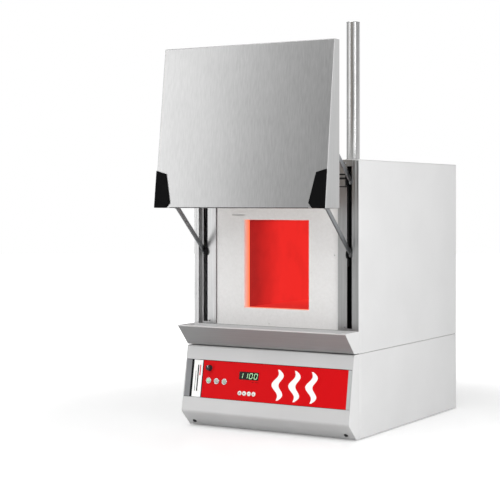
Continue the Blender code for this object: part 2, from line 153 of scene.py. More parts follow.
def newBlock(name, low, high):
    low, high = Vector(low), Vector(high)
    piece = newPrimitive(name, bpy.ops.mesh.primitive_cube_add, size=1, location=(low + high) / 2)
    piece.scale = high - low
    return settle(piece)


def newBar(name, low, high, edge=0.4):      # a small block with rounded edges, between two spots
    return softenEdges(newBlock(name, spot(*low), spot(*high)), edge)


def newRod(name, start, end, radius, steps=32):
    start, end = Vector(start), Vector(end)
    piece = newPrimitive(name, bpy.ops.mesh.primitive_cylinder_add, vertices=steps, radius=radius * mm,
                         depth=(end - start).length, location=(start + end) / 2)
    piece.rotation_mode = "QUATERNION"
    piece.rotation_quaternion = (end - start).to_track_quat("Z", "Y")
    return settle(piece)


def newSlot(start, end, depth, radius):     # a round-ended cutter between two places, along Y
    start, end = Vector(start), Vector(end)
    reach = (end - start).normalized() * radius * mm
    across = reach.cross(Vector((0, 1, 0)))
    corners = [start - reach, end + reach]
    low = Vector([min(c[i] for c in corners) - abs(across[i]) for i in range(3)])
    high = Vector([max(c[i] for c in corners) + abs(across[i]) for i in range(3)])
    low.y, high.y = start.y - depth * mm, start.y + depth * mm
    cutter = newBlock("slotCutter", low, high)
    openEdit(cutter, "EDGE", lambda e: span(e, 1) > depth)
    almost = 0.98       # a full radius would close up the flat between the round corners
    bpy.ops.mesh.bevel(offset=radius * mm * almost, segments=6, affect="EDGES")
    closeEdit()
    return cutter


def cutAway(piece, *cutters):
    for cutter in cutters:
        applyStep(piece, "BOOLEAN", operation="DIFFERENCE", object=cutter, solver="EXACT")
        bpy.data.objects.remove(cutter, do_unlink=True)
    return piece


def newFolded(name, path, along, thick, fold, outside, segments=4):
    # sheet steel: one edge is extruded from point to point, the folds are rounded, and it gets its thickness
    path = [Vector(point) for point in path]
    along = Vector(along) * mm
    piece = newPrimitive(name, bpy.ops.mesh.primitive_plane_add, size=1)
    corners = [path[0], path[1], path[0] + along, path[1] + along]
    for vert, place in zip(piece.data.vertices, corners):
        vert.co = place
    openEdit(piece, "VERT", lambda v: v.index in (1, 3))
    bpy.ops.mesh.select_mode(type="EDGE")
    for before, after in zip(path[1:], path[2:]):
        bpy.ops.mesh.extrude_region_move(TRANSFORM_OT_translate={"value": after - before})
    leastFold = 0.65        # radians; the shallow bends of a bevel or a groove stay as they are
    pick("EDGE", lambda e: len(e.link_faces) == 2 and e.calc_face_angle(0) > leastFold)
    bpy.ops.mesh.bevel(offset=fold * mm, segments=segments, affect="EDGES", clamp_overlap=True)
    faceOutwards()
    shell = bmesh.from_edit_mesh(piece.data)
    shell.normal_update()
    widest = max(shell.faces, key=lambda f: f.calc_area())
    if widest.normal.dot(Vector(outside)) < 0:
        bpy.ops.mesh.flip_normals()
    closeEdit()
    return applyStep(piece, "SOLIDIFY", thickness=thick * mm, offset=-1, use_even_offset=True)


def newTurned(name, profile, centre, axis=(0, 0, 1), steps=40):
    # a profile of (radius, height) drawn by extruding one vertex, then spun about the axis
    profile = [(radius * mm, height * mm) for radius, height in profile]
    piece = newPrimitive(name, bpy.ops.mesh.primitive_plane_add, size=1)
    openEdit(piece, "VERT", lambda v: v.index > 0)
    bpy.ops.mesh.delete(type="VERT")
    start = bmesh.from_edit_mesh(piece.data).verts
    start.ensure_lookup_table()
    start[0].co = (profile[0][0], 0, profile[0][1])
    pick("VERT", everything)
    for before, after in zip(profile, profile[1:] + profile[:1]):
        step = (after[0] - before[0], 0, after[1] - before[1])
        bpy.ops.mesh.extrude_region_move(TRANSFORM_OT_translate={"value": step})
    pick("VERT", everything)
    bpy.ops.mesh.remove_doubles(threshold=tiny)
    pick("EDGE", everything)
    bpy.ops.mesh.spin(steps=steps, angle=2 * math.pi, center=(0, 0, 0), axis=(0, 0, 1))
    pick("VERT", everything)
    bpy.ops.mesh.remove_doubles(threshold=tiny)
    faceOutwards()
    closeEdit()
    piece.rotation_mode = "QUATERNION"
    piece.rotation_quaternion = Vector(axis).to_track_quat("Z", "Y")
    piece.location = centre
    return settle(piece)


def newOutline(name, outline, thick):       # a flat plate of any outline; thick is a vector
    piece = newPrimitive(name, bpy.ops.mesh.primitive_circle_add, vertices=len(outline), radius=1,
                         fill_type="NGON")
    for vert, place in zip(piece.data.vertices, outline):
        vert.co = place
    openEdit(piece, "FACE", everything)
    bpy.ops.mesh.extrude_region_move(TRANSFORM_OT_translate={"value": Vector(thick) * mm})
    faceOutwards()
    closeEdit()
    return piece


def copyPiece(piece, name, matrix):
    twin = piece.copy()
    twin.data = piece.data.copy()
    twin.name = name
    bpy.context.scene.collection.objects.link(twin)
    twin.data.transform(matrix)
    if matrix.determinant() < 0:
        twin.data.flip_normals()
    return twin


def joinPieces(pieces, name):
    focus(pieces[0])
    for piece in pieces[1:]:
        piece.select_set(True)
    if len(pieces) > 1:
        bpy.ops.object.join()
    pieces[0].name = name
    return pieces[0]


def copiesAt(first, name, matrices):        # one model, set down at every place, as one piece
    copies = [copyPiece(first, name, matrix) for matrix in matrices]
    bpy.data.objects.remove(first, do_unlink=True)
    return joinPieces(copies, name)


def newScrews(name, places, axis, radius, height=2.2):
    # pan-head screws with a hexagon recess, heads along the axis
    neck, recess = height * 0.35, radius * 0.55
    profile = [(0, 0), (radius, 0), (radius, neck), (radius * 0.86, height * 0.8), (radius * 0.6, height),
               (0, height)]
    head = newTurned(name, profile, (0, 0, 0), steps=24)
    cutAway(head, newRod("socket", (0, 0, neck * mm), (0, 0, 2 * height * mm), recess, 6))
    shade(head, 40)
    turn = Vector(axis).to_track_quat("Z", "Y").to_matrix().to_4x4()
    return copiesAt(head, name, [Matrix.Translation(place) @ turn for place in places])


def copyNode(node, name):       # a CAD node as one clean shell, for rounding and finishing
    piece = nodes[node].copy()
    piece.data = nodes[node].data.copy()
    piece.name = name
    for key in list(piece.keys()):
        del piece[key]
    bpy.context.scene.collection.objects.link(piece)
    piece.parent = None
    piece.matrix_world = Matrix.Identity(4)
    openEdit(piece, "VERT", everything)
    bpy.ops.mesh.remove_doubles(threshold=tiny)
    pick("FACE", everything)
    bpy.ops.mesh.dissolve_limited(angle_limit=math.radians(1))
    closeEdit()
    return piece


def hang(piece, body, slot, look, *stoodFor):      # body to ride on, record slot (not used), finish, CAD nodes
    piece.data.materials.clear()
    piece.data.materials.append(finish[look])
    for face in piece.data.polygons:
        face.material_index = 0
    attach(piece, body)
    if stoodFor:
        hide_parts(*stoodFor)


def roundNode(node, name, width, body, slot, look, segments=2):     # a CAD node with its edges rounded
    hang(softenEdges(copyNode(node, name), width, segments), body, slot, look, node)


def linear(code):       # sRGB hex to the linear colour that a shader takes
    values = [int(code[i:i + 2], 16) / 255 for i in (1, 3, 5)]
    return [v / 12.92 if v <= 0.04045 else ((v + 0.055) / 1.055) ** 2.4 for v in values] + [1.0]


def addNode(tree, kind, settings=None, links=None):
    made = tree.nodes.new("ShaderNode" + kind)
    for name, value in (settings or {}).items():
        if isinstance(name, int) or name in made.inputs:
            made.inputs[name].default_value = value
        else:
            setattr(made, name, value)
    for name, source in (links or {}).items():
        tree.links.new(source, made.inputs[name])
    return made


def newFinish(name, settings):
    look = bpy.data.materials.new(name)
    look.use_nodes = True
    shader = look.node_tree.nodes["Principled BSDF"]
    for socket, value in settings.items():
        shader.inputs[socket].default_value = value
    place = addNode(look.node_tree, "TexCoord").outputs["Object"]
    return look, look.node_tree, shader, place


def wire(tree, shader, links):
    for socket, source in links.items():
        tree.links.new(source, shader.inputs[socket])


# the chamber's own faces, which the glowing finishes follow
boardLow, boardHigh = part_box("insulation_front")
hearthLow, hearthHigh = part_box("hearth_tile")
heaterLow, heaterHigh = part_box("heater_panel_right")
mouthHigh = heaterHigh.z - 5 * mm
mouth = {"halfWide": heaterLow.x - 2 * mm, "middle": (hearthHigh.z + mouthHigh) / 2,
         "halfHigh": (mouthHigh - hearthHigh.z) / 2}


def brushedSteel(name, dark, light, along, rough, pitch=2.4, relief=0.05):
    # rolled steel brushed with a belt: parallel lines, so highlights are soft and drawn out across them.
    # Real lines lie 0.1 mm apart; here the pitch is a millimetre or two, so that they show.
    look, tree, shader, place = newFinish(name, {"Metallic": 1.0})
    scale = [1 / (pitch * mm * (70 if axis == along else 1)) for axis in "xyz"]
    drawn = addNode(tree, "Mapping", {"Scale": scale}, {"Vector": place})
    lines = addNode(tree, "TexNoise", {"Scale": 1.0, "Detail": 2.0, "Roughness": 0.5},
                    {"Vector": drawn.outputs["Vector"]})
    cloud = addNode(tree, "TexNoise", {"Scale": 1 / (90 * mm), "Detail": 3.0}, {"Vector": place})
    mixed = addNode(tree, "Math", {"operation": "MULTIPLY_ADD", 1: 0.3},
                    {0: cloud.outputs["Fac"], 2: lines.outputs["Fac"]})
    spread = addNode(tree, "MapRange", {"From Min": 0.4, "From Max": 0.9}, {"Value": mixed.outputs[0]})
    tone = addNode(tree, "Mix", {"data_type": "RGBA", 6: linear(dark), 7: linear(light)},
                   {0: spread.outputs["Result"]})
    gloss = addNode(tree, "MapRange", {"From Min": 0.3, "From Max": 0.7, "To Min": rough - 0.01,
                                       "To Max": rough + 0.02}, {"Value": lines.outputs["Fac"]})
    scratch = addNode(tree, "Bump", {"Strength": relief, "Distance": 0.04 * mm},
                      {"Height": lines.outputs["Fac"]})
    wire(tree, shader, {"Base Color": tone.outputs[2], "Roughness": gloss.outputs["Result"],
                        "Normal": scratch.outputs["Normal"]})
    return look


def powderCoat(name, tone, shadow, rough=0.42):
    # polyester powder baked on steel: even colour, satin, with the fine orange peel of the melted powder.
    # Real peel is about 0.8 mm from crest to crest; drawn at twice that.
    look, tree, shader, place = newFinish(name, {"IOR": 1.5, "Coat Weight": 0.15, "Coat Roughness": 0.3})
    cloud = addNode(tree, "TexNoise", {"Scale": 1 / (140 * mm), "Detail": 4.0}, {"Vector": place})
    peel = addNode(tree, "TexNoise", {"Scale": 1 / (1.6 * mm), "Detail": 2.0}, {"Vector": place})
    tint = addNode(tree, "MapRange", {"From Min": 0.35, "From Max": 0.65, "To Max": 0.55},
                   {"Value": cloud.outputs["Fac"]})
    colour = addNode(tree, "Mix", {"data_type": "RGBA", 6: linear(tone), 7: linear(shadow)},
                     {0: tint.outputs["Result"]})
    gloss = addNode(tree, "MapRange", {"From Min": 0.3, "From Max": 0.7, "To Min": rough - 0.04,
                                       "To Max": rough + 0.06}, {"Value": peel.outputs["Fac"]})
    relief = addNode(tree, "Bump", {"Strength": 0.1, "Distance": 0.08 * mm}, {"Height": peel.outputs["Fac"]})
    wire(tree, shader, {"Base Color": colour.outputs[2], "Roughness": gloss.outputs["Result"],
                        "Normal": relief.outputs["Normal"]})
    return look


def mouldedPlastic(name, tone, worn, rough, grain=0.9, depth=0.05, sheen=0.5):
    # injection-moulded plastic with a spark-eroded mould texture: matt, with a slight sparkle of fine pits
    look, tree, shader, place = newFinish(name, {"IOR": 1.49, "Specular IOR Level": sheen})
    pits = addNode(tree, "TexVoronoi", {"Scale": 1 / (grain * mm)}, {"Vector": place})
    cloud = addNode(tree, "TexNoise", {"Scale": 1 / (12 * mm), "Detail": 4.0}, {"Vector": place})
    colour = addNode(tree, "Mix", {"data_type": "RGBA", 6: linear(tone), 7: linear(worn)},
                     {0: cloud.outputs["Fac"]})
    gloss = addNode(tree, "MapRange", {"To Min": rough - 0.05, "To Max": rough + 0.1},
                    {"Value": pits.outputs["Distance"]})
    relief = addNode(tree, "Bump", {"Strength": 0.25, "Distance": depth * mm},
                     {"Height": pits.outputs["Distance"]})
    wire(tree, shader, {"Base Color": colour.outputs[2], "Roughness": gloss.outputs["Result"],
                        "Normal": relief.outputs["Normal"]})
    return look


def fibreBoard(name, tone, speck, opening=None):
    # vacuum-formed ceramic fibre: chalky white, slightly lumpy, with fibre shot as small darker specks.
    # Round an opening it glows with the chamber's heat, and painted light from the chamber falls on it and
    # tints it.
    look, tree, shader, place = newFinish(name, {"Roughness": 0.92, "Specular IOR Level": 0.2})
    lumps = addNode(tree, "TexNoise", {"Scale": 1 / (7 * mm), "Detail": 8.0, "Roughness": 0.65},
                    {"Vector": place})
    fibres = addNode(tree, "Mapping", {"Scale": (1.0, 1.0, 3.5), "Rotation": (0.3, 0.5, 0.4)},
                     {"Vector": place})
    felt = addNode(tree, "TexNoise", {"Scale": 1 / (1.6 * mm), "Detail": 6.0, "Distortion": 1.5},
                   {"Vector": fibres.outputs["Vector"]})
    shot = addNode(tree, "TexVoronoi", {"Scale": 1 / (5.5 * mm)}, {"Vector": place})
    fleck = addNode(tree, "MapRange", {"From Min": 0.05, "From Max": 0.13, "To Min": 0.5, "To Max": 0.0},
                    {"Value": shot.outputs["Distance"]})
    cloudy = addNode(tree, "MapRange", {"From Min": 0.35, "From Max": 0.7, "To Max": 0.45},
                     {"Value": lumps.outputs["Fac"]})
    amount = addNode(tree, "Math", {"operation": "MAXIMUM"}, {0: fleck.outputs[0], 1: cloudy.outputs[0]})
    colour = addNode(tree, "Mix", {"data_type": "RGBA", 6: linear(tone), 7: linear(speck)},
                     {0: amount.outputs[0]})
    height = addNode(tree, "Math", {"operation": "ADD"}, {0: felt.outputs["Fac"], 1: lumps.outputs["Fac"]})
    relief = addNode(tree, "Bump", {"Strength": 0.3, "Distance": 0.35 * mm}, {"Height": height.outputs[0]})
    wire(tree, shader, {"Base Color": colour.outputs[2], "Normal": relief.outputs["Normal"]})
    if opening:
        lightRound(opening, tree, shader, place, colour.outputs[2])
    return look


def lightRound(opening, tree, shader, place, colour):
    # glow on the opening's own walls, stronger further in, and a thin bleed of light on the face round it:
    # partly the board's own heat, partly painted light from the chamber, which also tints the base colour
    # warm
    split = addNode(tree, "SeparateXYZ", None, {0: place})
    side = addNode(tree, "Math", {"operation": "ABSOLUTE"}, {0: split.outputs["X"]})
    sideOut = addNode(tree, "Math", {"operation": "SUBTRACT", 1: opening["halfWide"]}, {0: side.outputs[0]})
    level = addNode(tree, "Math", {"operation": "SUBTRACT", 1: opening["middle"]}, {0: split.outputs["Z"]})
    rise = addNode(tree, "Math", {"operation": "ABSOLUTE"}, {0: level.outputs[0]})
    riseOut = addNode(tree, "Math", {"operation": "SUBTRACT", 1: opening["halfHigh"]}, {0: rise.outputs[0]})
    away = addNode(tree, "Math", {"operation": "MAXIMUM"}, {0: sideOut.outputs[0], 1: riseOut.outputs[0]})
    near = addNode(tree, "MapRange", {"From Min": 0.0, "From Max": 5 * mm, "To Min": 0.45, "To Max": 0.0},
                   {"Value": away.outputs[0]})
    bleed = addNode(tree, "Math", {"operation": "POWER", 1: 2.5}, {0: near.outputs[0]})
    deep = addNode(tree, "MapRange", {"From Min": boardLow.y, "From Max": boardHigh.y, "To Min": 0.12,
                                      "To Max": 1.0, "interpolation_type": "SMOOTHSTEP"},
                   {"Value": split.outputs["Y"]})
    within = addNode(tree, "Math", {"operation": "LESS_THAN", 1: 0.3 * mm}, {0: away.outputs[0]})
    heat = addNode(tree, "Mix", {"data_type": "FLOAT"},
                   {0: within.outputs[0], 2: bleed.outputs[0], 3: deep.outputs[0]})
    warm = addNode(tree, "Mix", {"data_type": "RGBA", 6: linear("#000000"), 7: linear("#FF8A5A")},
                   {0: heat.outputs[0]})
    chamberLitTint = addNode(tree, "Mix", {"data_type": "RGBA", 7: linear("#B85A38")},
                     {0: heat.outputs[0], 6: colour})
    wire(tree, shader, {"Emission Color": warm.outputs[2], "Base Color": chamberLitTint.outputs[2]})
    shader.inputs["Emission Strength"].default_value = 0.85


def hotCeramic(name, cool, hot, ember, near, far):
    # ceramic at about 1100 degrees: it lights itself, duller towards the door, brighter further in,
    # and its cool outer side past the far wall doesn't glow. Over the top 9 mm under the mouth's upper edge
    # the glow is dimmed: painted shade under the overhang
    look, tree, shader, place = newFinish(name, {"Roughness": 0.85, "Base Color": linear("#5A2018")})
    split = addNode(tree, "SeparateXYZ", None, {0: place})
    depth = addNode(tree, "MapRange", {"From Min": near, "From Max": far, "interpolation_type": "SMOOTHSTEP"},
                    {"Value": split.outputs["Y"]})
    cloud = addNode(tree, "TexNoise", {"Scale": 1 / (60 * mm), "Detail": 5.0}, {"Vector": place})
    grain = addNode(tree, "TexNoise", {"Scale": 1 / (2.5 * mm), "Detail": 5.0}, {"Vector": place})
    uneven = addNode(tree, "MapRange", {"From Min": 0.3, "From Max": 0.7, "To Min": -0.12, "To Max": 0.12},
                     {"Value": cloud.outputs["Fac"]})
    heat = addNode(tree, "Math", {"operation": "ADD", "use_clamp": True},
                   {0: depth.outputs[0], 1: uneven.outputs[0]})
    glow = addNode(tree, "Mix", {"data_type": "RGBA", 6: linear(cool), 7: linear(hot)}, {0: heat.outputs[0]})
    spots = addNode(tree, "MapRange", {"From Min": 0.45, "From Max": 0.75, "To Max": 0.35},
                    {"Value": grain.outputs["Fac"]})
    final = addNode(tree, "Mix", {"data_type": "RGBA", 7: linear(ember)},
                    {0: spots.outputs[0], 6: glow.outputs[2]})
    outer = addNode(tree, "MapRange", {"From Min": hearthHigh.y + 2 * mm, "From Max": hearthHigh.y + 30 * mm,
                                       "To Min": 1.0, "To Max": 0.0}, {"Value": split.outputs["Y"]})
    # painted shade: the glow falls to just over half over the top 9 mm below the mouth's upper edge
    upper = addNode(tree, "MapRange", {"From Min": mouthHigh - 9 * mm, "From Max": mouthHigh, "To Min": 1.0,
                                       "To Max": 0.55}, {"Value": split.outputs["Z"]})
    power = addNode(tree, "Math", {"operation": "MULTIPLY"}, {0: outer.outputs[0], 1: upper.outputs[0]})
    relief = addNode(tree, "Bump", {"Strength": 0.4, "Distance": 0.4 * mm}, {"Height": grain.outputs["Fac"]})
    wire(tree, shader, {"Emission Color": final.outputs[2], "Emission Strength": power.outputs[0],
                        "Normal": relief.outputs["Normal"]})
    return look


def printedFilm(name, tone, shade):
    # polyester film printed from behind: satin face over flat, saturated ink, with a very fine emboss
    look, tree, shader, place = newFinish(name, {"Specular IOR Level": 0.06})
    emboss = addNode(tree, "TexVoronoi", {"Scale": 1 / (0.7 * mm)}, {"Vector": place})
    ink = addNode(tree, "TexNoise", {"Scale": 1 / (45 * mm), "Detail": 3.0}, {"Vector": place})
    colour = addNode(tree, "Mix", {"data_type": "RGBA", 6: linear(tone), 7: linear(shade)},
                     {0: ink.outputs["Fac"]})
    gloss = addNode(tree, "MapRange", {"To Min": 0.33, "To Max": 0.46}, {"Value": emboss.outputs["Distance"]})
    relief = addNode(tree, "Bump", {"Strength": 0.12, "Distance": 0.03 * mm},
                     {"Height": emboss.outputs["Distance"]})
    wire(tree, shader, {"Base Color": colour.outputs[2], "Roughness": gloss.outputs["Result"],
                        "Normal": relief.outputs["Normal"]})
    return look


def litPlastic(name, tone, glow, strength, centre, radius):
    # translucent cap with a lamp behind it: brightest in the middle, milky towards the rim
    look, tree, shader, place = newFinish(name, {"IOR": 1.49, "Subsurface Weight": 0.3, "Roughness": 0.22,
                                                 "Subsurface Radius": (2 * mm, 2 * mm, 2 * mm),
                                                 "Emission Strength": strength})
    offset = addNode(tree, "Mapping", {"Location": [-c for c in centre]}, {"Vector": place})
    away = addNode(tree, "VectorMath", {"operation": "LENGTH"}, {0: offset.outputs["Vector"]})
    core = addNode(tree, "MapRange", {"From Min": radius * 0.25, "From Max": radius * 1.1, "To Min": 1.0,
                                      "To Max": 0.0, "interpolation_type": "SMOOTHSTEP"},
                   {"Value": away.outputs["Value"]})
    haze = addNode(tree, "TexNoise", {"Scale": 1 / (1.5 * mm), "Detail": 3.0}, {"Vector": place})
    rim = addNode(tree, "Mix", {"data_type": "RGBA", 6: linear(tone), 7: linear(glow)}, {0: core.outputs[0]})
    lamp = addNode(tree, "Mix", {"data_type": "RGBA", 6: linear("#000000"), 7: linear(glow)},
                   {0: core.outputs[0]})
    gloss = addNode(tree, "MapRange", {"To Min": 0.16, "To Max": 0.3}, {"Value": haze.outputs["Fac"]})
    wire(tree, shader, {"Base Color": rim.outputs[2], "Emission Color": lamp.outputs[2],
                        "Roughness": gloss.outputs["Result"]})
    return look


def smokedGlass(name):
    # tinted acrylic lens over the figures: near black and glossy, with the faintest rub marks
    look, tree, shader, place = newFinish(name, {"IOR": 1.49, "Specular IOR Level": 0.2})
    rubs = addNode(tree, "TexNoise", {"Scale": 1 / (6 * mm), "Detail": 6.0, "Distortion": 2.0},
                   {"Vector": place})
    colour = addNode(tree, "Mix", {"data_type": "RGBA", 6: linear("#060806"), 7: linear("#10140F")},
                     {0: rubs.outputs["Fac"]})
    gloss = addNode(tree, "MapRange", {"To Min": 0.06, "To Max": 0.2}, {"Value": rubs.outputs["Fac"]})
    wire(tree, shader, {"Base Color": colour.outputs[2], "Roughness": gloss.outputs["Result"]})
    return look


def lampSegment(name, glow):
    # light-emitting figure bar: green light, slightly uneven from dot to dot
    look, tree, shader, place = newFinish(name, {"Roughness": 0.4, "Base Color": linear("#203020"),
                                                 "Emission Strength": 1.0})
    dots = addNode(tree, "TexNoise", {"Scale": 1 / (1.2 * mm), "Detail": 2.0}, {"Vector": place})
    colour = addNode(tree, "Mix", {"data_type": "RGBA", 6: linear(glow), 7: linear("#E9FFE4")},
                     {0: dots.outputs["Fac"]})
    wire(tree, shader, {"Emission Color": colour.outputs[2]})
    return look


finish = {
    # pale powder coat: satin, so that folds show as soft light lines; the fascia's is darker and smoother
    "case": powderCoat("powderCoatedSteel", "#D9D9D9", "#D3D3D3"),
    "fascia": powderCoat("greyPowderCoatedSteel", "#C8C8C8", "#C0C0C0", 0.36),
    # brushed stainless: the door has long upright streaks, the frame finer ones, the trough lengthwise ones
    # and a dull face
    "door": brushedSteel("brushedStainlessDoor", "#A4A4A4", "#B1B1B1", "z", 0.30, 3.0, 0.03),
    "frame": brushedSteel("brushedStainlessFrame", "#A2A2A2", "#BABABA", "z", 0.32),
    "trough": brushedSteel("brushedStainlessTrough", "#A2A2A2", "#AAAAAA", "x", 0.6),
    # drawn stainless tube: smooth, with sharp upright highlights
    "chimney": brushedSteel("drawnStainlessTube", "#B0B0B0", "#C4C4C4", "z", 0.2, 2.0, 0.01),
    # bright mild steel bar is greyer than stainless, and zinc plate is bluer and cloudy
    "arm": brushedSteel("brightMildSteelBar", "#7C7E80", "#909294", "z", 0.34),
    "zinc": brushedSteel("zincPlatedSteel", "#8A8C8F", "#A0A2A5", "y", 0.4, 2.4),
    # small turned heads with bright rims, and buffed chrome that is almost a mirror
    "screw": brushedSteel("stainlessScrew", "#8F9092", "#B4B5B7", "y", 0.25, 1.0),
    "chrome": brushedSteel("buffedChromeRing", "#C9CBCE", "#E2E4E6", "z", 0.16, 1.2, 0.02),
    # extruded aluminium: pale, with draw lines along the fins
    "aluminium": brushedSteel("extrudedAluminium", "#B4B6B9", "#CDCFD2", "y", 0.35, 1.4),
    # blackened steel screws: an oxide skin that covers the metal, with an oily shine. The zinc-plated rails
    # seen through the slots, and the other zinc-plated parts left as they are, are coloured near black:
    # painted shade of the cavity behind the slots
    "blackScrew": mouldedPlastic("blackenedSteelScrew", "#0B0B0C", "#1A1A1C", 0.35, 0.6, 0.03),
    "shadedZincBlack": mouldedPlastic("zincPaintedShadeBlack", "#0A0A0B", "#121214", 0.6, 1.6, 0.04, 0.2),
    # rubber is dull, nylon has a grey sheen, and the grips are the deepest black on the door
    "rubber": mouldedPlastic("mouldedRubber", "#121212", "#1E1E1E", 0.75, 1.2, 0.1),
    "nylon": mouldedPlastic("blackNylon", "#141416", "#202023", 0.5),
    "grip": mouldedPlastic("mouldedGripBlack", "#050506", "#0B0B0C", 0.62, 1.1, 0.06, 0.06),
    # cream thermoset is waxy, and the white key caps are glossy
    "cream": mouldedPlastic("creamThermoset", "#D8CDB4", "#CFC3A8", 0.45),
    "key": mouldedPlastic("whiteKeyCap", "#EFEFEA", "#E4E4DE", 0.3, 0.8, 0.02),
    # one printed film, an ink for each band: flat colour without a highlight
    "red": printedFilm("redPrintedFilm", "#D50D14", "#CC0B12"),
    "white": printedFilm("whitePrintedFilm", "#FDFDFC", "#F6F6F4"),
    "black": printedFilm("blackPrintedFilm", "#121213", "#19191B"),
    "greyPrint": printedFilm("greyPrintedFilm", "#8A8B8D", "#828385"),
    "palePrint": printedFilm("paleGreyPrintedFilm", "#BABCBC", "#B3B5B5"),
    # display: dark glossy lens, and figures that light it from just under its face
    "display": smokedGlass("smokedAcrylicLens"),
    "figures": lampSegment("greenLampSegment", "#7FE87A"),
    # ceramic fibre: grey-white blocks, a whiter front board with its lit mouth, and a plug browned by heat
    "board": fibreBoard("ceramicFibreBoard", "#E2E1DE", "#D2D0CC"),
    "mouthBoard": fibreBoard("ceramicFibreFrontBoard", "#F5F4F3", "#E6E5E3", mouth),
    "plugBoard": fibreBoard("ceramicFibrePlug", "#DEDAD3", "#BFB4A6"),
    # hot ceramic: dark cherry by the door, then red, and orange at the back and overhead
    "heater": hotCeramic("hotHeaterCeramic", "#8F0B12", "#E42826", "#EC3C2E", boardHigh.y,
                         heaterLow.y + 200 * mm),
    "hearth": hotCeramic("hotHearthTile", "#C81F20", "#E62E28", "#EF4030", hearthLow.y, hearthHigh.y),
    "roofWall": hotCeramic("hotRoofBlock", "#B5181B", "#EC4231", "#F2613A", boardHigh.y, hearthHigh.y),
    "rearWall": hotCeramic("hotRearWall", "#E23A28", "#F25A34", "#FF7A48", hearthLow.y, hearthHigh.y),
}
print("finishes made:", len(finish))


# side panels: sheet folded at the front and rear corners, with a shallow bevel and a rolled groove behind
# the front fold, and a stainless trim that closes the front edge beside the frame
panelSheet = {"thick": 1.5, "fold": 2.2, "bevel": 2.2, "band": 13.0, "groove": 1.0, "ramp": 1.6,
              "grooveFloor": 1.0, "rearReturn": 238.0, "soft": 0.35,
              "upper": {"node": "case_side_", "start": 1.3, "lip": 244.0},
              "lower": {"node": "base_side_", "start": 2.2, "lip": 238.6}}
sideTrim = {"path": [(234.4, 10.0), (234.4, 0.0), (242.6, 0.0), (243.4, 0.9), (249.8, 0.9)],
            "thick": 0.8, "fold": 1.2, "soft": 0.2}


def makeSidePanel(level, sideName, side):
    edge = panelSheet[level]
    node = edge["node"] + sideName
    low, high = sized(node)
    wide = max(abs(low.x), abs(high.x))
    sunk = wide - panelSheet["groove"]
    grooveStart = panelSheet["band"] + panelSheet["ramp"]
    grooveEnd = grooveStart + panelSheet["grooveFloor"]
    path = [(edge["lip"], edge["start"]), (wide - panelSheet["bevel"], edge["start"]),
            (wide, panelSheet["band"]), (sunk, grooveStart), (sunk, grooveEnd),
            (wide, grooveEnd + panelSheet["ramp"]), (wide, high.y), (panelSheet["rearReturn"], high.y)]
    panel = newFolded(level + "SidePanel_" + sideName, [spot(side * x, y, low.z) for x, y in path],
                      (0, 0, high.z - low.z), panelSheet["thick"], panelSheet["fold"], (side, 0, 0))
    hang(softenEdges(panel, panelSheet["soft"]), "cabinet", "painted_panels", "case", node)


def makeSideTrim(sideName, side):
    low, high = sized("case_side_" + sideName)
    trim = newFolded("frontTrim_" + sideName, [spot(side * x, y, low.z) for x, y in sideTrim["path"]],
                     (0, 0, high.z - low.z), sideTrim["thick"], sideTrim["fold"], (0, -1, 0))
    hang(softenEdges(trim, sideTrim["soft"], 1), "cabinet", "stainless", "frame")


for sideName, side in sides.items():
    makeSidePanel("upper", sideName, side)
    makeSidePanel("lower", sideName, side)
    makeSideTrim(sideName, side)
print("side panels done")


# roof panel: one sheet with front and rear flanges, notched over the side panels, with the chimney's hole
roof = {"thick": 1.5, "fold": 3.0, "frontNotch": 234.0, "rearNotch": 237.7, "flange": 30.0, "past": 5.0,
        "hole": 20.0, "soft": 0.35}
low, high = sized("case_top")
path = [(low.y, low.z), (low.y, high.z), (high.y, high.z), (high.y, low.z)]
roofPanel = newFolded("roofPanel", [spot(low.x, y, z) for y, z in path], (high.x - low.x, 0, 0),
                      roof["thick"], roof["fold"], (0, 0, 1))
notchTop = high.z - roof["fold"] - 0.2
notchEnds = [(-roof["past"], roof["flange"], roof["frontNotch"]),
             (high.y - roof["flange"], high.y + roof["past"], roof["rearNotch"])]
for side in sides.values():
    for start, end, half in notchEnds:
        a, b = bothWays(side, half, 260)
        cutAway(roofPanel, newBlock("notch", spot(a, start, low.z - roof["past"]), spot(b, end, notchTop)))
chimneyLow, chimneyHigh = sized("chimney_tube")
chimneyY = (chimneyLow.y + chimneyHigh.y) / 2
hole = newRod("hole", spot(0, chimneyY, high.z - 9), spot(0, chimneyY, high.z + 9), roof["hole"], 48)
cutAway(roofPanel, hole)
hang(softenEdges(roofPanel, roof["soft"]), "cabinet", "painted_panels", "case", "case_top")


# rear panels: rows of round-ended vents, and the hole for the cable gland
rearPanels = {"ventRadius": 3.0, "ventDeep": 5.0, "glandHole": 10.6, "soft": 0.3,
              "rows": {"middles": (-120, 120), "half": 42, "first": 303, "pitch": 24, "count": 9},
              "slits": {"first": 63, "pitch": 18, "count": 8, "low": 63, "high": 127}}


def makeRearPanel(name, node, vents, holes):
    low, high = sized(node)
    middle = high.y - 0.7
    cutters = [newSlot(spot(a[0], middle, a[1]), spot(b[0], middle, b[1]), rearPanels["ventDeep"],
                       rearPanels["ventRadius"]) for a, b in vents]
    cutters += [newRod("hole", spot(x, high.y - 8, z), spot(x, high.y + 8, z), radius, 40)
                for x, z, radius in holes]
    panel = newBlock(name, spot(*low), spot(*high))
    cutAway(panel, joinPieces(cutters, "vents"))
    hang(softenEdges(panel, rearPanels["soft"]), "cabinet", "painted_panels", "case", node)


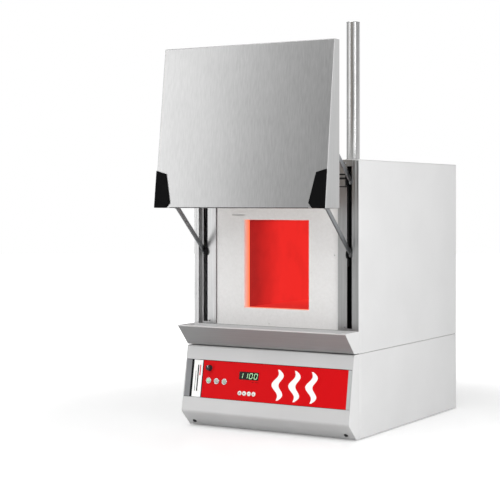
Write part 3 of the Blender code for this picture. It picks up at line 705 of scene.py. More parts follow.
rows, slits = rearPanels["rows"], rearPanels["slits"]
heights = [rows["first"] + rows["pitch"] * i for i in range(rows["count"])]
vents = [((x - rows["half"], z), (x + rows["half"], z)) for x in rows["middles"] for z in heights]
makeRearPanel("upperRearPanel", "case_rear", vents, [])
glandLow, glandHigh = sized("cable_gland")
gland = (glandLow + glandHigh) / 2
slitPlaces = [slits["first"] + slits["pitch"] * i for i in range(slits["count"])]
vents = [((x, slits["low"]), (x, slits["high"])) for x in slitPlaces]
makeRearPanel("lowerRearPanel", "base_rear_panel", vents, [(gland.x, gland.z, rearPanels["glandHole"])])
print("roof and rear panels done")


# base: plate, moulded feet with a rib, cable gland with its dome, hexagon nut and back nut
foot = {"shape": [(0, 0), (11.2, 0), (12.6, 0.5), (14.4, 1.7), (14.9, 2.4), (14.7, 3.2), (14.2, 3.5),
                  (14.2, 4.1), (14.5, 4.5), (14.1, 5.8), (0, 5.8)]}
cableGland = {"dome": [(5.2, 0.3), (13.6, 0.3), (13.9, 1.0), (13.9, 1.6), (11.0, 1.9), (11.0, 8.8),
                       (10.6, 9.6), (10.2, 16.5), (9.4, 19.5), (7.6, 22.2), (6.6, 23.1), (5.4, 23.1),
                       (5.2, 22.6)],
              "nut": [(11.2, 2.2), (13.8, 2.2), (13.8, 8.4), (11.2, 8.4)],
              "backNut": [(5.2, -8), (13.8, -8), (13.8, -2), (5.2, -2)]}
roundNode("base_plate", "basePlate", 0.4, "cabinet", "zinc_steel", "zinc")
for corner in ("front_left", "front_right", "rear_left", "rear_right"):
    low, high = sized("foot_" + corner)
    pad = newTurned("foot_" + corner, foot["shape"], spot((low.x + high.x) / 2, (low.y + high.y) / 2, 0))
    hang(shade(pad), "cabinet", "rubber_feet", "rubber", "foot_" + corner)

entry = spot(gland.x, sized("base_rear_panel")[1].y, gland.z)
dome = shade(newTurned("glandDome", cableGland["dome"], entry, (0, 1, 0), 48))
nut = softenEdges(newTurned("glandNut", cableGland["nut"], entry, (0, 1, 0), 6), 0.5)
backNut = softenEdges(newTurned("glandBackNut", cableGland["backNut"], entry, (0, 1, 0), 6), 0.4)
hang(joinPieces([dome, nut, backNut], "cableGland"), "cabinet", "black_nylon", "nylon", "cable_gland")


# control fascia: one folded sheet, end cheeks, and a recess for the control panel
fascia = {"depth": 28.0, "top": 218.5, "bendDepth": 58.0, "bend": 43.0, "toeDepth": 15.0, "toe": 2.0,
          "backGap": 0.3, "thick": 3.0, "fold": 5.0, "cheek": 1.5, "cheekGap": 0.2, "soft": 0.35,
          "panelMid": 132.0, "panelHalf": 50.72, "panelLeft": -249.0, "panelRight": 250.0, "recess": 1.5}
kickScrew = {"x": 229, "height": 14.5, "down": 0.695, "radius": 5.8, "head": 1.9}
lean = math.atan2(fascia["bendDepth"] - fascia["depth"], fascia["top"] - fascia["bend"])
panelOut = fascia["depth"] + (fascia["top"] - fascia["panelMid"]) * math.tan(lean)
panelFrame = Matrix.Translation(spot(0, -panelOut, fascia["panelMid"]))
panelFrame = panelFrame @ Matrix.Rotation(math.pi / 2 - lean, 4, "X")


def onPanel(piece):     # from the control panel's own frame (right, up the slope, out) to its place
    piece.data.transform(panelFrame)
    return piece


def upSlope(height):    # a height above the floor, measured along the panel from its middle
    return (height - fascia["panelMid"]) / math.cos(lean)


def panelBlock(name, x, y, z):
    return newBlock(name, Vector((x[0], y[0], z[0])) * mm, Vector((x[1], y[1], z[1])) * mm)


def panelRod(radius, x, y, low=-12, high=12, steps=40):
    return newRod("cutter", Vector((x, y, low)) * mm, Vector((x, y, high)) * mm, radius, steps)


wide = sized("control_fascia")[1].x - fascia["cheek"] - fascia["cheekGap"]
path = [(-fascia["backGap"], fascia["top"]), (-fascia["depth"], fascia["top"]),
        (-fascia["bendDepth"], fascia["bend"]), (-fascia["toeDepth"], fascia["toe"]),
        (-fascia["backGap"], fascia["toe"])]
wrap = newFolded("fasciaWrap", [spot(-wide, y, z) for y, z in path], (2 * wide, 0, 0), fascia["thick"],
                 fascia["fold"], (0, -1, 0), 6)
half = fascia["panelHalf"]
cutAway(wrap, onPanel(panelBlock("pocket", (fascia["panelLeft"], fascia["panelRight"]), (-half, half),
                                 (-fascia["recess"], 8))))
for sideName, side in sides.items():
    cheek = newOutline("fasciaCheek_" + sideName,
                       [spot(side * (wide + fascia["cheekGap"]), y, z) for y, z in path],
                       (side * fascia["cheek"], 0, 0))
    openEdit(cheek, "EDGE", lambda e: span(e, 0) > 1 and middleOf(e).y < front - 20 * mm)
    bpy.ops.mesh.bevel(offset=fascia["fold"] * mm, segments=6, affect="EDGES")
    closeEdit()
    hang(softenEdges(cheek, fascia["soft"]), "cabinet", "painted_panels", "case")
kickDeep, kickTall = fascia["bendDepth"] - fascia["toeDepth"], fascia["bend"] - fascia["toe"]
kickY = -fascia["bendDepth"] + kickDeep * kickScrew["down"]
kickSpots = [spot(x, kickY, kickScrew["height"]) for x in (-kickScrew["x"], kickScrew["x"])]
kickScrews = newScrews("kickScrews", kickSpots, Vector((0, -kickTall, -kickDeep)).normalized(),
                       kickScrew["radius"], kickScrew["head"])
hang(kickScrews, "cabinet", "black_nylon", "blackScrew")
print("base and fascia done")


# control panel: printed film in bands, with real openings for the switch, buttons, keys and figures
film = {"thick": 1.2, "edge": 0.3, "soft": 0.12, "ink": 0.1, "inkSoft": 0.03,
        "bands": [("greyBandLeft", -248.7, -232.0, "greyPrint"), ("blackBandLeft", -231.95, -225.0, "black"),
                  ("whiteBand", -224.95, -197.0, "white"), ("blackBandRight", -196.95, -194.0, "black"),
                  ("redPanel", -193.95, 240.0, "red"), ("greyBandRight", 240.05, 249.7, "palePrint")],
        "topShadeLine": 1.1, "bottomShadeLine": 0.8}
switch = {"x": -174.0, "y": upSlope(161.0), "hole": 3.8}
buttonRow = {"spots": {"push_button_1": -174.0, "push_button_2": -149.5, "push_button_3": -125.0},
             "y": upSlope(128.0), "hole": 5.5}
keyRow = {"spots": {"controller_key_1": -75.0, "controller_key_2": -61.0, "controller_key_3": -46.5,
                    "controller_key_4": -32.5}, "y": upSlope(102.0), "hole": 6.3}
window = {"x": -51.2, "y": upSlope(147.5), "halfWide": 30.0, "halfHigh": 10.5, "corner": 1.2}


def panelOpenings():
    openings = [panelRod(switch["hole"], switch["x"], switch["y"])]
    openings += [panelRod(row["hole"], x, row["y"]) for row in (buttonRow, keyRow)
                 for x in row["spots"].values()]
    frameHole = panelBlock("hole", (window["x"] - window["halfWide"], window["x"] + window["halfWide"]),
                           (window["y"] - window["halfHigh"], window["y"] + window["halfHigh"]), (-12, 12))
    return joinPieces(openings + [softenEdges(frameHole, window["corner"], 3)], "openings")


def printMark(name, marks, look, body="cabinet", slot="red_panel"):     # ink stands up by its own thickness
    mark = joinPieces([panelBlock("mark", *extent) for extent in marks], name)
    softenEdges(mark, film["inkSoft"], 1)
    hang(onPanel(mark), body, slot, look)


cutAway(wrap, onPanel(panelOpenings()))
hang(softenEdges(wrap, fascia["soft"]), "cabinet", "fascia", "fascia", "control_fascia")

reach = fascia["panelHalf"] - film["edge"]
for name, a, b, look in film["bands"]:
    band = panelBlock(name, (a, b), (-reach, reach), (-film["thick"], 0))
    stoodFor = []
    if name == "redPanel":
        cutAway(band, panelOpenings())
        stoodFor = ["control_overlay"]
    hang(onPanel(softenEdges(band, film["soft"], 1)), "cabinet", "red_panel", look, *stoodFor)
filmEnds = (film["bands"][0][1], film["bands"][-1][2])
# thin black lines along the film's top and bottom edges: painted shade where the film meets the recess
panelShadeLines = [panelBlock("panelShadeLine", filmEnds, y, (-0.02, 0.12))
             for y in ((reach - film["topShadeLine"], reach), (-reach, -reach + film["bottomShadeLine"]))]
panelShadeLine = softenEdges(joinPieces(panelShadeLines, "panelEdgeShadeLine"), 0.04, 1)
hang(onPanel(panelShadeLine), "cabinet", "red_panel", "black")


# printed marks: three rising waves for heat, and plain rules
heatWave = {"places": (38, 88, 138), "bottom": -42, "wide": 21, "tall": 80, "sway": 8, "turns": 1.5,
            "tip": 0.1, "blunt": 0.55, "ink": 0.12}
ink = (0, film["ink"])
captionY = (window["y"] - 16.0, window["y"] - 15.0)


def newWave(x):
    # a ribbon between two sine lines, drawn from a straight strip by subdividing and shifting its vertices
    low, tall = heatWave["bottom"], heatWave["tall"]
    strip = panelBlock("heatMark", (x - heatWave["wide"] / 2, x + heatWave["wide"] / 2), (low, low + tall),
                       (0, heatWave["ink"]))
    openEdit(strip, "EDGE", lambda e: span(e, 1) > 1)
    bpy.ops.mesh.subdivide(number_cuts=40)
    closeEdit()
    for vert in strip.data.vertices:
        along = (vert.co.y / mm - low) / tall
        belly = math.sin(math.pi * min(max(along, 0.01), 0.99)) ** heatWave["blunt"]
        taper = heatWave["tip"] + (1 - heatWave["tip"]) * belly
        shift = heatWave["sway"] * math.sin(2 * math.pi * heatWave["turns"] * along)
        vert.co.x = (x + (vert.co.x / mm - x) * taper + shift) * mm
    return strip


waves = joinPieces([newWave(x) for x in heatWave["places"]], "heatMark")
hang(shade(onPanel(waves), 20), "cabinet", "red_panel", "white")
printMark("bandRules", [((-218, -216.6), (-34, 20), ink), ((-212, -208.4), (-34, 36), ink)], "black")
printMark("bandAccent", [((-205.6, -202.6), (8, 36), ink)], "red")
printMark("displayCaption", [((-31, -21), captionY, ink), ((-41, -35), captionY, ink)], "black")


# display: smoked lens in the film's window, with seven-bar figures just under its face
lens = {"halfWide": 29.6, "halfHigh": 10.1, "back": -3.2, "face": -0.35, "soft": 0.5}
figure = {"high": 13.4, "wide": 8.6, "bar": 1.9, "end": 0.5, "pitch": 14.7, "first": -27.5, "slant": 0.16,
          "depth": (-0.36, -0.28), "shown": "1100"}
# each bar: how far across, how far up, and whether it lies flat
bars = {"top": (0, 1, True), "middle": (0, 0.5, True), "bottom": (0, 0, True), "upperLeft": (0, 0.5, False),
        "upperRight": (1, 0.5, False), "lowerLeft": (0, 0, False), "lowerRight": (1, 0, False)}
litBars = {"1": ("upperRight", "lowerRight"),
           "0": ("top", "bottom", "upperLeft", "upperRight", "lowerLeft", "lowerRight")}
glass = panelBlock("displayLens", (window["x"] - lens["halfWide"], window["x"] + lens["halfWide"]),
                   (window["y"] - lens["halfHigh"], window["y"] + lens["halfHigh"]),
                   (lens["back"], lens["face"]))
hang(onPanel(softenEdges(glass, lens["soft"], 3)), "cabinet", "display", "display", "display_window")


def newBars(number, left):
    half, end, made = figure["bar"] / 2, figure["end"], []
    for bar in litBars[number]:
        across, up, flat = bars[bar]
        x = left + across * figure["wide"]
        y = window["y"] + (up - 0.5) * figure["high"]
        if flat:
            extent = ((x + end, x + figure["wide"] - end), (y - half, y + half))
        else:
            extent = ((x - half, x + half), (y + end, y + figure["high"] / 2 - end))
        made.append(panelBlock("figureBar", *extent, figure["depth"]))
    return made


lit = []
for place, number in enumerate(figure["shown"]):
    lit += newBars(number, window["x"] + figure["first"] + place * figure["pitch"])
figures = joinPieces(lit, "displayFigures")
for vert in figures.data.vertices:
    vert.co.x += (vert.co.y - window["y"] * mm) * figure["slant"]
hang(onPanel(softenEdges(figures, 0.02, 1)), "cabinet", "display", "figures")


# switch knob with a fluted skirt and a pointer line
knob = {"shape": [(0, -14), (3, -14), (3, 0.6), (8.1, 0.6), (8.2, 1.2), (7.9, 2.0), (7.2, 2.6), (6.9, 10.6),
                  (6.4, 11.6), (5.6, 12.0), (0, 12.0)],
        "flutes": 12, "fluteRadius": 0.9, "fluteRing": 7.5, "fluteLow": 3.4, "soft": 0.2,
        "pointer": ((-0.6, 0.6), (1.2, 5.6), (11.8, 12.25)), "pointerSoft": 0.1}
x, y = switch["x"], switch["y"]
knobTurned = newTurned("switchKnob", knob["shape"], Vector((x, y, 0)) * mm, steps=48)
flutes = []
for i in range(knob["flutes"]):
    angle = 2 * math.pi * (i + 0.5) / knob["flutes"]
    flutes.append(panelRod(knob["fluteRadius"], x + knob["fluteRing"] * math.cos(angle),
                           y + knob["fluteRing"] * math.sin(angle), knob["fluteLow"], 14, 12))
cutAway(knobTurned, joinPieces(flutes, "flutes"))
hang(onPanel(softenEdges(knobTurned, knob["soft"], 2, 45)), "switch_knob", "switch_knob", "nylon",
     "power_switch_knob")
across, up, out = knob["pointer"]
pointer = panelBlock("knobPointer", [x + step for step in across], [y + step for step in up], out)
hang(onPanel(softenEdges(pointer, knob["pointerSoft"])), "switch_knob", "key_caps", "white")


# buttons: translucent caps in buffed rings, the first one lit
buttonMake = {"cap": [(0, -6), (5.15, -6), (5.15, 2.7), (4.9, 3.2), (4.2, 3.75), (3.0, 4.2), (1.5, 4.38),
                      (0, 4.4)],
          "ring": [(5.5, 0.0), (8.0, 0.0), (8.0, 1.3), (7.6, 1.9), (6.9, 2.2), (6.2, 2.1), (5.7, 1.6),
                   (5.5, 1.0)],
          "glow": [("#C4D8C4", "#7FC98E", 0.45), ("#C9C9C4", "#9DA69C", 0.15), ("#C3C6BF", "#8FA78F", 0.2)],
          "glowRadius": 4.4, "glowHeight": 4.4}
rings = []
for number, (node, x) in enumerate(buttonRow["spots"].items()):
    name = "buttonCap_%d" % (number + 1)
    lamp = panelFrame @ (Vector((x, buttonRow["y"], buttonMake["glowHeight"])) * mm)
    finish[name] = litPlastic(name, *buttonMake["glow"][number], lamp, buttonMake["glowRadius"] * mm)
    middle = Vector((x, buttonRow["y"], 0)) * mm
    cap = newTurned("button_%d" % (number + 1), buttonMake["cap"], middle)
    hang(shade(onPanel(cap), 40), node, "button_lenses", name, node)
    rings.append(newTurned("ring", buttonMake["ring"], middle, steps=48))
hang(shade(onPanel(joinPieces(rings, "buttonRings")), 40), "cabinet", "stainless", "chrome")


# keys: domed white caps with generic symbols (menu, plus, minus, enter) as strokes of ink
keyMake = {"cap": [(0, -2.4), (5.95, -2.4), (5.95, 0.45), (5.6, 0.8), (4.2, 1.05), (2.0, 1.17), (0, 1.2)],
           "ink": (1.0, 1.24), "inkSoft": 0.04,
           "symbols": [[((-2.2, 2.2), (-2.4, -1.4)), ((-2.2, 2.2), (1.4, 2.4)), ((-2.2, -1.2), (-1.4, 1.4)),
                        ((1.2, 2.2), (-1.4, 1.4))],
                       [((-2.4, 2.4), (-0.5, 0.5)), ((-0.5, 0.5), (-2.4, 2.4))],
                       [((-2.4, 2.4), (-0.6, 0.6))],
                       [((-2.6, 2.6), (-2.2, -1.4)), ((-1.6, 1.6), (-0.4, 0.4)), ((-0.6, 0.6), (1.4, 2.2))]]}
for number, (node, x) in enumerate(keyRow["spots"].items()):
    cap = newTurned("key_%d" % (number + 1), keyMake["cap"], Vector((x, keyRow["y"], 0)) * mm)
    hang(shade(onPanel(cap), 40), node, "key_caps", "key", node)
    strokes = [panelBlock("stroke", [x + step for step in a], [keyRow["y"] + step for step in b],
                          keyMake["ink"])
               for a, b in keyMake["symbols"][number]]
    mark = softenEdges(joinPieces(strokes, "keyMark_%d" % (number + 1)), keyMake["inkSoft"], 1)
    hang(onPanel(mark), node, "key_caps", "black")
print("control panel done")


# loading trough: folded slope, painted lip and back plate, closed by painted end cheeks
trough = {"thick": 1.5, "fold": 2.2, "lip": 8.0, "lipFold": 1.8, "cap": 4.0, "joint": 0.2, "cheek": 1.5,
          "foot": 27.0, "floorEnd": 1.8, "back": 1.5, "soft": 0.3, "cheekSoft": 0.4}
low, high = sized("loading_trough")
wide = high.x - trough["cheek"] - trough["joint"]
outline = [Vector((low.y, high.z)), Vector((-trough["foot"], low.z)), Vector((high.y, low.z)),
           Vector((high.y, high.z))]
downSlope = (outline[1] - outline[0]).normalized()
capEnd = outline[0] + downSlope * trough["cap"]
slopeTop = outline[0] + downSlope * (trough["cap"] + trough["joint"])
path = [slopeTop, outline[1], (high.y - trough["floorEnd"], low.z)]
sheet = newFolded("loadingTrough", [spot(-wide, y, z) for y, z in path], (2 * wide, 0, 0), trough["thick"],
                  trough["fold"], (0, -1, -1))
hang(softenEdges(sheet, trough["soft"]), "cabinet", "stainless", "trough", "loading_trough")
path = [(low.y + trough["lip"], high.z), outline[0], capEnd]
lip = newFolded("troughLip", [spot(-wide, y, z) for y, z in path], (2 * wide, 0, 0), trough["thick"],
                trough["lipFold"], (0, 0, 1))
hang(softenEdges(lip, trough["soft"]), "cabinet", "painted_panels", "case")
back = newBar("troughBack", (-wide, high.y - trough["back"], low.z), (wide, high.y, high.z))
hang(back, "cabinet", "painted_panels", "case")
for sideName, side in sides.items():
    corners = [spot(side * (wide + trough["joint"]), y, z) for y, z in outline]
    cheek = newOutline("troughCheek_" + sideName, corners, (side * trough["cheek"], 0, 0))
    hang(softenEdges(cheek, trough["cheekSoft"]), "cabinet", "painted_panels", "case")


# front frame: plate with the chamber opening and long slots for the arms, and a header strip over it
frontFrame = {"openHalf": 186.0, "openHeights": (276.0, 690.0), "openCorner": 2.0, "slot": (212.5, 226.0),
              "slotHeights": (281.0, 697.0), "slotCorner": 1.5, "past": 8.0, "soft": 0.3,
              "screwX": 205.9, "screwHeights": (284.5, 703.0), "screwRadius": 2.6, "screwHead": 1.4}
header = {"half": 234.0, "heights": (698.4, 713.6), "front": -0.9, "back": -0.15, "soft": 0.2,
          "bolts": (-212, -70, 70, 212), "boltHeight": 705.6, "boltRadius": 3.4, "boltHead": 2.6}
low, high = sized("front_frame")
near, far = low.y - frontFrame["past"], high.y + frontFrame["past"]


def frameCutter(a, b, heights, corner):
    cutter = newBlock("frameCutter", spot(a, near, heights[0]), spot(b, far, heights[1]))
    return softenEdges(cutter, corner, 3)


half = frontFrame["openHalf"]
cutters = [frameCutter(-half, half, frontFrame["openHeights"], frontFrame["openCorner"])]
for side in sides.values():
    a, b = bothWays(side, *frontFrame["slot"])
    cutters.append(frameCutter(a, b, frontFrame["slotHeights"], frontFrame["slotCorner"]))
plate = cutAway(newBlock("frontFrame", spot(*low), spot(*high)), joinPieces(cutters, "frameCutters"))
hang(softenEdges(plate, frontFrame["soft"]), "cabinet", "stainless", "frame", "front_frame")
places = [spot(side * frontFrame["screwX"], low.y, z) for side in sides.values()
          for z in frontFrame["screwHeights"]]
frameScrews = newScrews("frameScrews", places, (0, -1, 0), frontFrame["screwRadius"], frontFrame["screwHead"])
hang(frameScrews, "cabinet", "stainless", "screw")
bottom, top = header["heights"]
strip = newBar("frontHeader", (-header["half"], header["front"], bottom),
               (header["half"], header["back"], top), header["soft"])
hang(strip, "cabinet", "stainless", "frame")
places = [spot(x, header["front"], header["boltHeight"]) for x in header["bolts"]]
headerBolts = newScrews("headerBolts", places, (0, -1, 0), header["boltRadius"], header["boltHead"])
hang(headerBolts, "cabinet", "stainless", "screw")


# counterbalance brackets beside the upper pivots: plates with black nylon layers between them, painted shade
# for the dark lines between the plates
bracket = {"near": 188.5, "far": 211.8, "back": 10.1, "gap": 0.1, "soft": 0.5,
           "kinds": {"counterBracket_": {"front": 1.5, "slot": "zinc_steel", "look": "frame",
                                         "layers": [(646.5, 663.5), (669.0, 674.5), (678.5, 684.0)]},
                     "bracketShadeLayers_": {"front": 4.5, "slot": "black_nylon", "look": "nylon",
                                         "layers": [(643.5, 646.5), (663.5, 669.0), (674.5, 678.5)]}}}
for sideName, side in sides.items():
    a, b = bothWays(side, bracket["near"], bracket["far"])
    for name, kind in bracket["kinds"].items():
        layers = [newBar("layer", (a, kind["front"], bottom + bracket["gap"]),
                         (b, bracket["back"], top - bracket["gap"]), bracket["soft"])
                  for bottom, top in kind["layers"]]
        hang(joinPieces(layers, name + sideName), "cabinet", kind["slot"], kind["look"])
print("trough and front frame done")


# chamber: front board with a chamfered mouth, a groove beside each slot, a sight slit and two small holes
frontBoard = {"grooveX": (184.6, 189.0), "grooveHeights": (240, 697), "grooveDeep": 10.0, "past": 5.0,
              "slit": (-136, -97), "slitHeight": 570.6, "slitDeep": 7.0, "slitRadius": 1.1,
              "holes": [(174.4, 468.4), (-21.8, 282.6)], "holeRadius": 1.7, "holeDeep": 12.0,
              "chamfer": 2.2, "soft": 0.5}


def onMouth(edge):      # on the board's front face, round the chamber's mouth
    atFront = all(abs(vert.co.y - boardLow.y) < 0.1 * mm for vert in edge.verts)
    inside = all(abs(vert.co.x) < mouth["halfWide"] + 1 * mm for vert in edge.verts)
    between = all(hearthHigh.z - 1 * mm < vert.co.z < mouthHigh + 1 * mm for vert in edge.verts)
    return atFront and inside and between


face = sized("insulation_front")[0].y
near = face - frontBoard["past"]
bottom, top = frontBoard["grooveHeights"]
cutters = []
for side in sides.values():
    a, b = bothWays(side, *frontBoard["grooveX"])
    cutters.append(newBlock("groove", spot(a, near, bottom), spot(b, face + frontBoard["grooveDeep"], top)))
cutters.append(newSlot(*[spot(x, face, frontBoard["slitHeight"]) for x in frontBoard["slit"]],
                       frontBoard["slitDeep"], frontBoard["slitRadius"]))
cutters += [newRod("hole", spot(x, near, z), spot(x, face + frontBoard["holeDeep"], z),
                   frontBoard["holeRadius"], 20) for x, z in frontBoard["holes"]]
board = cutAway(copyNode("insulation_front", "frontBoard"), joinPieces(cutters, "boardCutters"))
openEdit(board, "EDGE", onMouth)
bpy.ops.mesh.bevel(offset=frontBoard["chamfer"] * mm, segments=3, affect="EDGES")
closeEdit()
hang(softenEdges(board, frontBoard["soft"]), "cabinet", "ceramic_board", "mouthBoard", "insulation_front")
for node, name, width, slot, look in (
        ("hearth_tile", "hearthTile", 1.2, "hot_hearth", "hearth"),
        ("heater_panel_right", "heaterPanel_right", 1.0, "hot_heaters", "heater"),
        ("heater_panel_left", "heaterPanel_left", 1.0, "hot_heaters", "heater"),
        ("insulation_rear", "rearBlock", 0.6, "ceramic_board", "rearWall"),
        ("insulation_roof", "roofBlock", 0.8, "ceramic_board", "roofWall")):
    roundNode(node, name, width, "cabinet", slot, look)
print("chamber done")


# chimney: drawn tube with a rolled rim and a seam weld, in a spun collar held by screws
chimney = {"inner": 17.8, "outer": 19.0, "rim": [(0, 3.2), (0.5, 2.4), (0.7, 1.3), (0.3, 0.3), (-0.4, 0)],
           "rimInside": 0.5, "weldRadius": 1.1, "weldSunk": 0.5, "weldAbove": 200, "weldBelow": 4}
collar = {"flange": [(19.3, 0), (37.6, 0), (38.0, 0.4), (38.0, 1.3), (37.5, 1.7), (24.5, 2.1), (22.6, 3.2),
                     (21.8, 5.2)],
          "neck": [(21.8, 1.2), (21.5, 0.3), (20.9, 0), (19.3, 0)],
          "screwRing": 30, "screwUp": 1.7, "screwRadius": 2.8, "screwHead": 1.8}
low, high = chimneyLow.z, chimneyHigh.z
tubeShape = [(chimney["inner"], low), (chimney["outer"], low)]
tubeShape += [(chimney["outer"] + out, high - down) for out, down in chimney["rim"]]
tubeShape += [(chimney["inner"], high - chimney["rimInside"])]
tube = newTurned("chimneyTube", tubeShape, spot(0, chimneyY, 0), steps=72)
weldY = chimneyY + chimney["outer"] - chimney["weldSunk"]
weld = newRod("weld", spot(0, weldY, low + chimney["weldAbove"]), spot(0, weldY, high - chimney["weldBelow"]),
              chimney["weldRadius"], 12)
tube = joinPieces([shade(tube), shade(weld)], "chimneyTube")
hang(tube, "cabinet", "chimney", "chimney", "chimney_tube")
low, high = [corner.z for corner in sized("chimney_collar")]
collarShape = [(radius, low + up) for radius, up in collar["flange"]]
collarShape += [(radius, high - down) for radius, down in collar["neck"]]
hang(shade(newTurned("chimneyCollar", collarShape, spot(0, chimneyY, 0), steps=72)), "cabinet", "chimney",
     "frame", "chimney_collar")
places = []
for angle in [math.radians(45 + 90 * i) for i in range(4)]:
    x, y = collar["screwRing"] * math.cos(angle), chimneyY + collar["screwRing"] * math.sin(angle)
    places.append(spot(x, y, low + collar["screwUp"]))
collarScrews = newScrews("collarScrews", places, (0, 0, 1), collar["screwRadius"], collar["screwHead"])
hang(collarScrews, "cabinet", "stainless", "screw")
print("chimney done")


# door linkage: rails and arms with rounded edges, pin clips outside the arms, spacers on the door's pins
linkage = {"pivotY": 12.0, "pivotLow": 471.0, "rise": 186.6, "pinInset": 9.0, "clipX": 225.1,
           "spacerX": (216.3, 225.4), "plateSoft": 0.4, "armSoft": 0.7,
           "clip": [(0, 0), (5.8, 0), (6.0, 0.2), (5.8, 0.5), (3.6, 0.6), (3.4, 0.8), (0, 0.85)],
           "spacer": [(4.1, 0), (6.8, 0), (7.0, 0.3), (7.0, 4.0), (6.8, 4.3), (4.1, 4.3)]}
# the pivot rails take the near-black finish: painted shade of the slots they show through
for sideName in sides:
    roundNode("pivot_rail_" + sideName, "pivotRail_" + sideName, linkage["plateSoft"], "cabinet",
              "zinc_steel", "shadedZincBlack")
    roundNode("door_channel_" + sideName, "doorChannel_" + sideName, linkage["plateSoft"], "door",
              "zinc_steel", "zinc")
    for level in ("lower", "upper"):
        node = level + "_arm_" + sideName
        roundNode(node, level + "Arm_" + sideName, linkage["armSoft"], node, "arm_steel", "arm", 3)


def onBothSides(places):        # at each place on the right, and mirrored on the left
    moves = [Matrix.Translation(place) for place in places]
    return moves + [Matrix.Scale(-1, 4, (1, 0, 0)) @ move for move in moves]


armLow, armHigh = sized("lower_arm_right")
doorPin = (armLow.y + linkage["pinInset"], armHigh.z - linkage["pinInset"])
levels = (0, linkage["rise"])
pivots = [spot(linkage["clipX"], linkage["pivotY"], linkage["pivotLow"] + level) for level in levels]
knuckles = [spot(x, doorPin[0], doorPin[1] + level) for level in levels for x in linkage["spacerX"]]
clip = shade(newTurned("clip", linkage["clip"], (0, 0, 0), (1, 0, 0), 32))
spacer = shade(newTurned("spacer", linkage["spacer"], (0, 0, 0), (1, 0, 0), 32))
hang(copiesAt(clip, "pivotClips", onBothSides(pivots)), "cabinet", "zinc_steel", "screw")
hang(copiesAt(spacer, "doorSpacers", onBothSides(knuckles)), "door", "black_nylon", "nylon")
print("linkage done")


# door: pressed wedge shell with rounded folds all round, open at the back and notched for the arms
door = {"fold": 1.8, "thick": 1.5, "frontLow": 184.0, "frontHigh": 135.0, "soft": 0.3,
        "notch": (212.0, 234.0), "notchDepths": (-140, -90), "notchTall": 10, "past": 8}
low, high = sized("door_skin")
outline = [(high.y, low.z), (-door["frontLow"], low.z), (-door["frontHigh"], high.z), (high.y, high.z)]
shell = newOutline("doorShell", [spot(low.x, y, z) for y, z in outline], (high.x - low.x, 0, 0))
openEdit(shell, "FACE", lambda f: f.normal.y > 0.9)
bpy.ops.mesh.delete(type="ONLY_FACE")
pick("EDGE", lambda e: len(e.link_faces) == 2)
bpy.ops.mesh.bevel(offset=door["fold"] * mm, segments=5, affect="EDGES")
faceOutwards()
closeEdit()
applyStep(shell, "SOLIDIFY", thickness=door["thick"] * mm, offset=-1, use_even_offset=True)
near, far = door["notchDepths"]
notches = []
for side in sides.values():
    a, b = bothWays(side, *door["notch"])
    notches.append(newBlock("notch", spot(a, near, low.z - door["past"]),
                            spot(b, far, low.z + door["notchTall"])))
cutAway(shell, joinPieces(notches, "notches"))
hang(softenEdges(shell, door["soft"]), "door", "stainless", "door", "door_skin")


# black nylon strip along the door's lower edge, leaning with its face: painted shade, standing for the dark
# line under the door's bottom fold
doorShadeStrip = {"half": 205, "out": (-1.4, 0.25), "up": (2.4, 4.2), "drop": 2.0, "soft": 0.2}
tilt = math.atan2(door["frontLow"] - door["frontHigh"], high.z - low.z)
shadeStrip = panelBlock("doorBottomShadeStrip", (-doorShadeStrip["half"], doorShadeStrip["half"]), doorShadeStrip["out"], doorShadeStrip["up"])
lean = Matrix.Rotation(-tilt, 4, "X")
shadeStrip.data.transform(Matrix.Translation(spot(0, -door["frontLow"], low.z - doorShadeStrip["drop"])) @ lean)
hang(softenEdges(shadeStrip, doorShadeStrip["soft"]), "door", "black_nylon", "nylon")


# corner grips: moulded blocks with a raised rim round the face
gripRim = {"wide": 4.5, "step": 0.9, "deep": 0.7, "soft": 0.9, "leastFace": 500}
for sideName in sides:
    grip = copyNode("door_grip_" + sideName, "doorGrip_" + sideName)
    openEdit(grip, "FACE", lambda f: f.normal.y < -0.9 and f.calc_area() > gripRim["leastFace"] * mm * mm)
    bpy.ops.mesh.inset(thickness=gripRim["wide"] * mm, depth=0)
    bpy.ops.mesh.inset(thickness=gripRim["step"] * mm, depth=-gripRim["deep"] * mm)
    closeEdit()
    hang(softenEdges(grip, gripRim["soft"], 3, 30), "door", "door_grips", "grip", "door_grip_" + sideName)


# door's inner side: folded pan, and a chamfered fibre plug held by washers in wells
plug = {"chamfer": 7.0, "soft": 0.8, "fixings": [(x, z) for x in (-140, 0, 140) for z in (640, 955)],
        "wellRadius": 9.0, "wellDeep": 2.5, "washerSunk": 2.4,
        "washer": [(0, 0), (8.2, 0), (8.4, 0.4), (8.0, 1.0), (3.4, 1.3), (3.2, 2.1), (2.4, 2.4), (0, 2.4)]}
roundNode("door_inner_pan", "doorInnerPan", 0.5, "door", "stainless", "frame")
low, high = sized("door_plug")
block = newBlock("doorPlug", spot(*low), spot(*high))
openEdit(block, "EDGE", lambda e: min(vert.co.y for vert in e.verts) > front + (high.y - 0.1) * mm)
bpy.ops.mesh.bevel(offset=plug["chamfer"] * mm, segments=1, affect="EDGES")
closeEdit()
wells = [newRod("well", spot(x, high.y - plug["wellDeep"], z), spot(x, high.y + 8, z), plug["wellRadius"])
         for x, z in plug["fixings"]]
cutAway(block, joinPieces(wells, "wells"))
hang(softenEdges(block, plug["soft"]), "door", "ceramic_board", "plugBoard", "door_plug")
washer = newTurned("washer", plug["washer"], (0, 0, 0), (0, 1, 0), 28)
places = [Matrix.Translation(spot(x, high.y - plug["washerSunk"], z)) for x, z in plug["fixings"]]
hang(shade(copiesAt(washer, "plugWashers", places)), "door", "stainless", "screw")
print("door done")


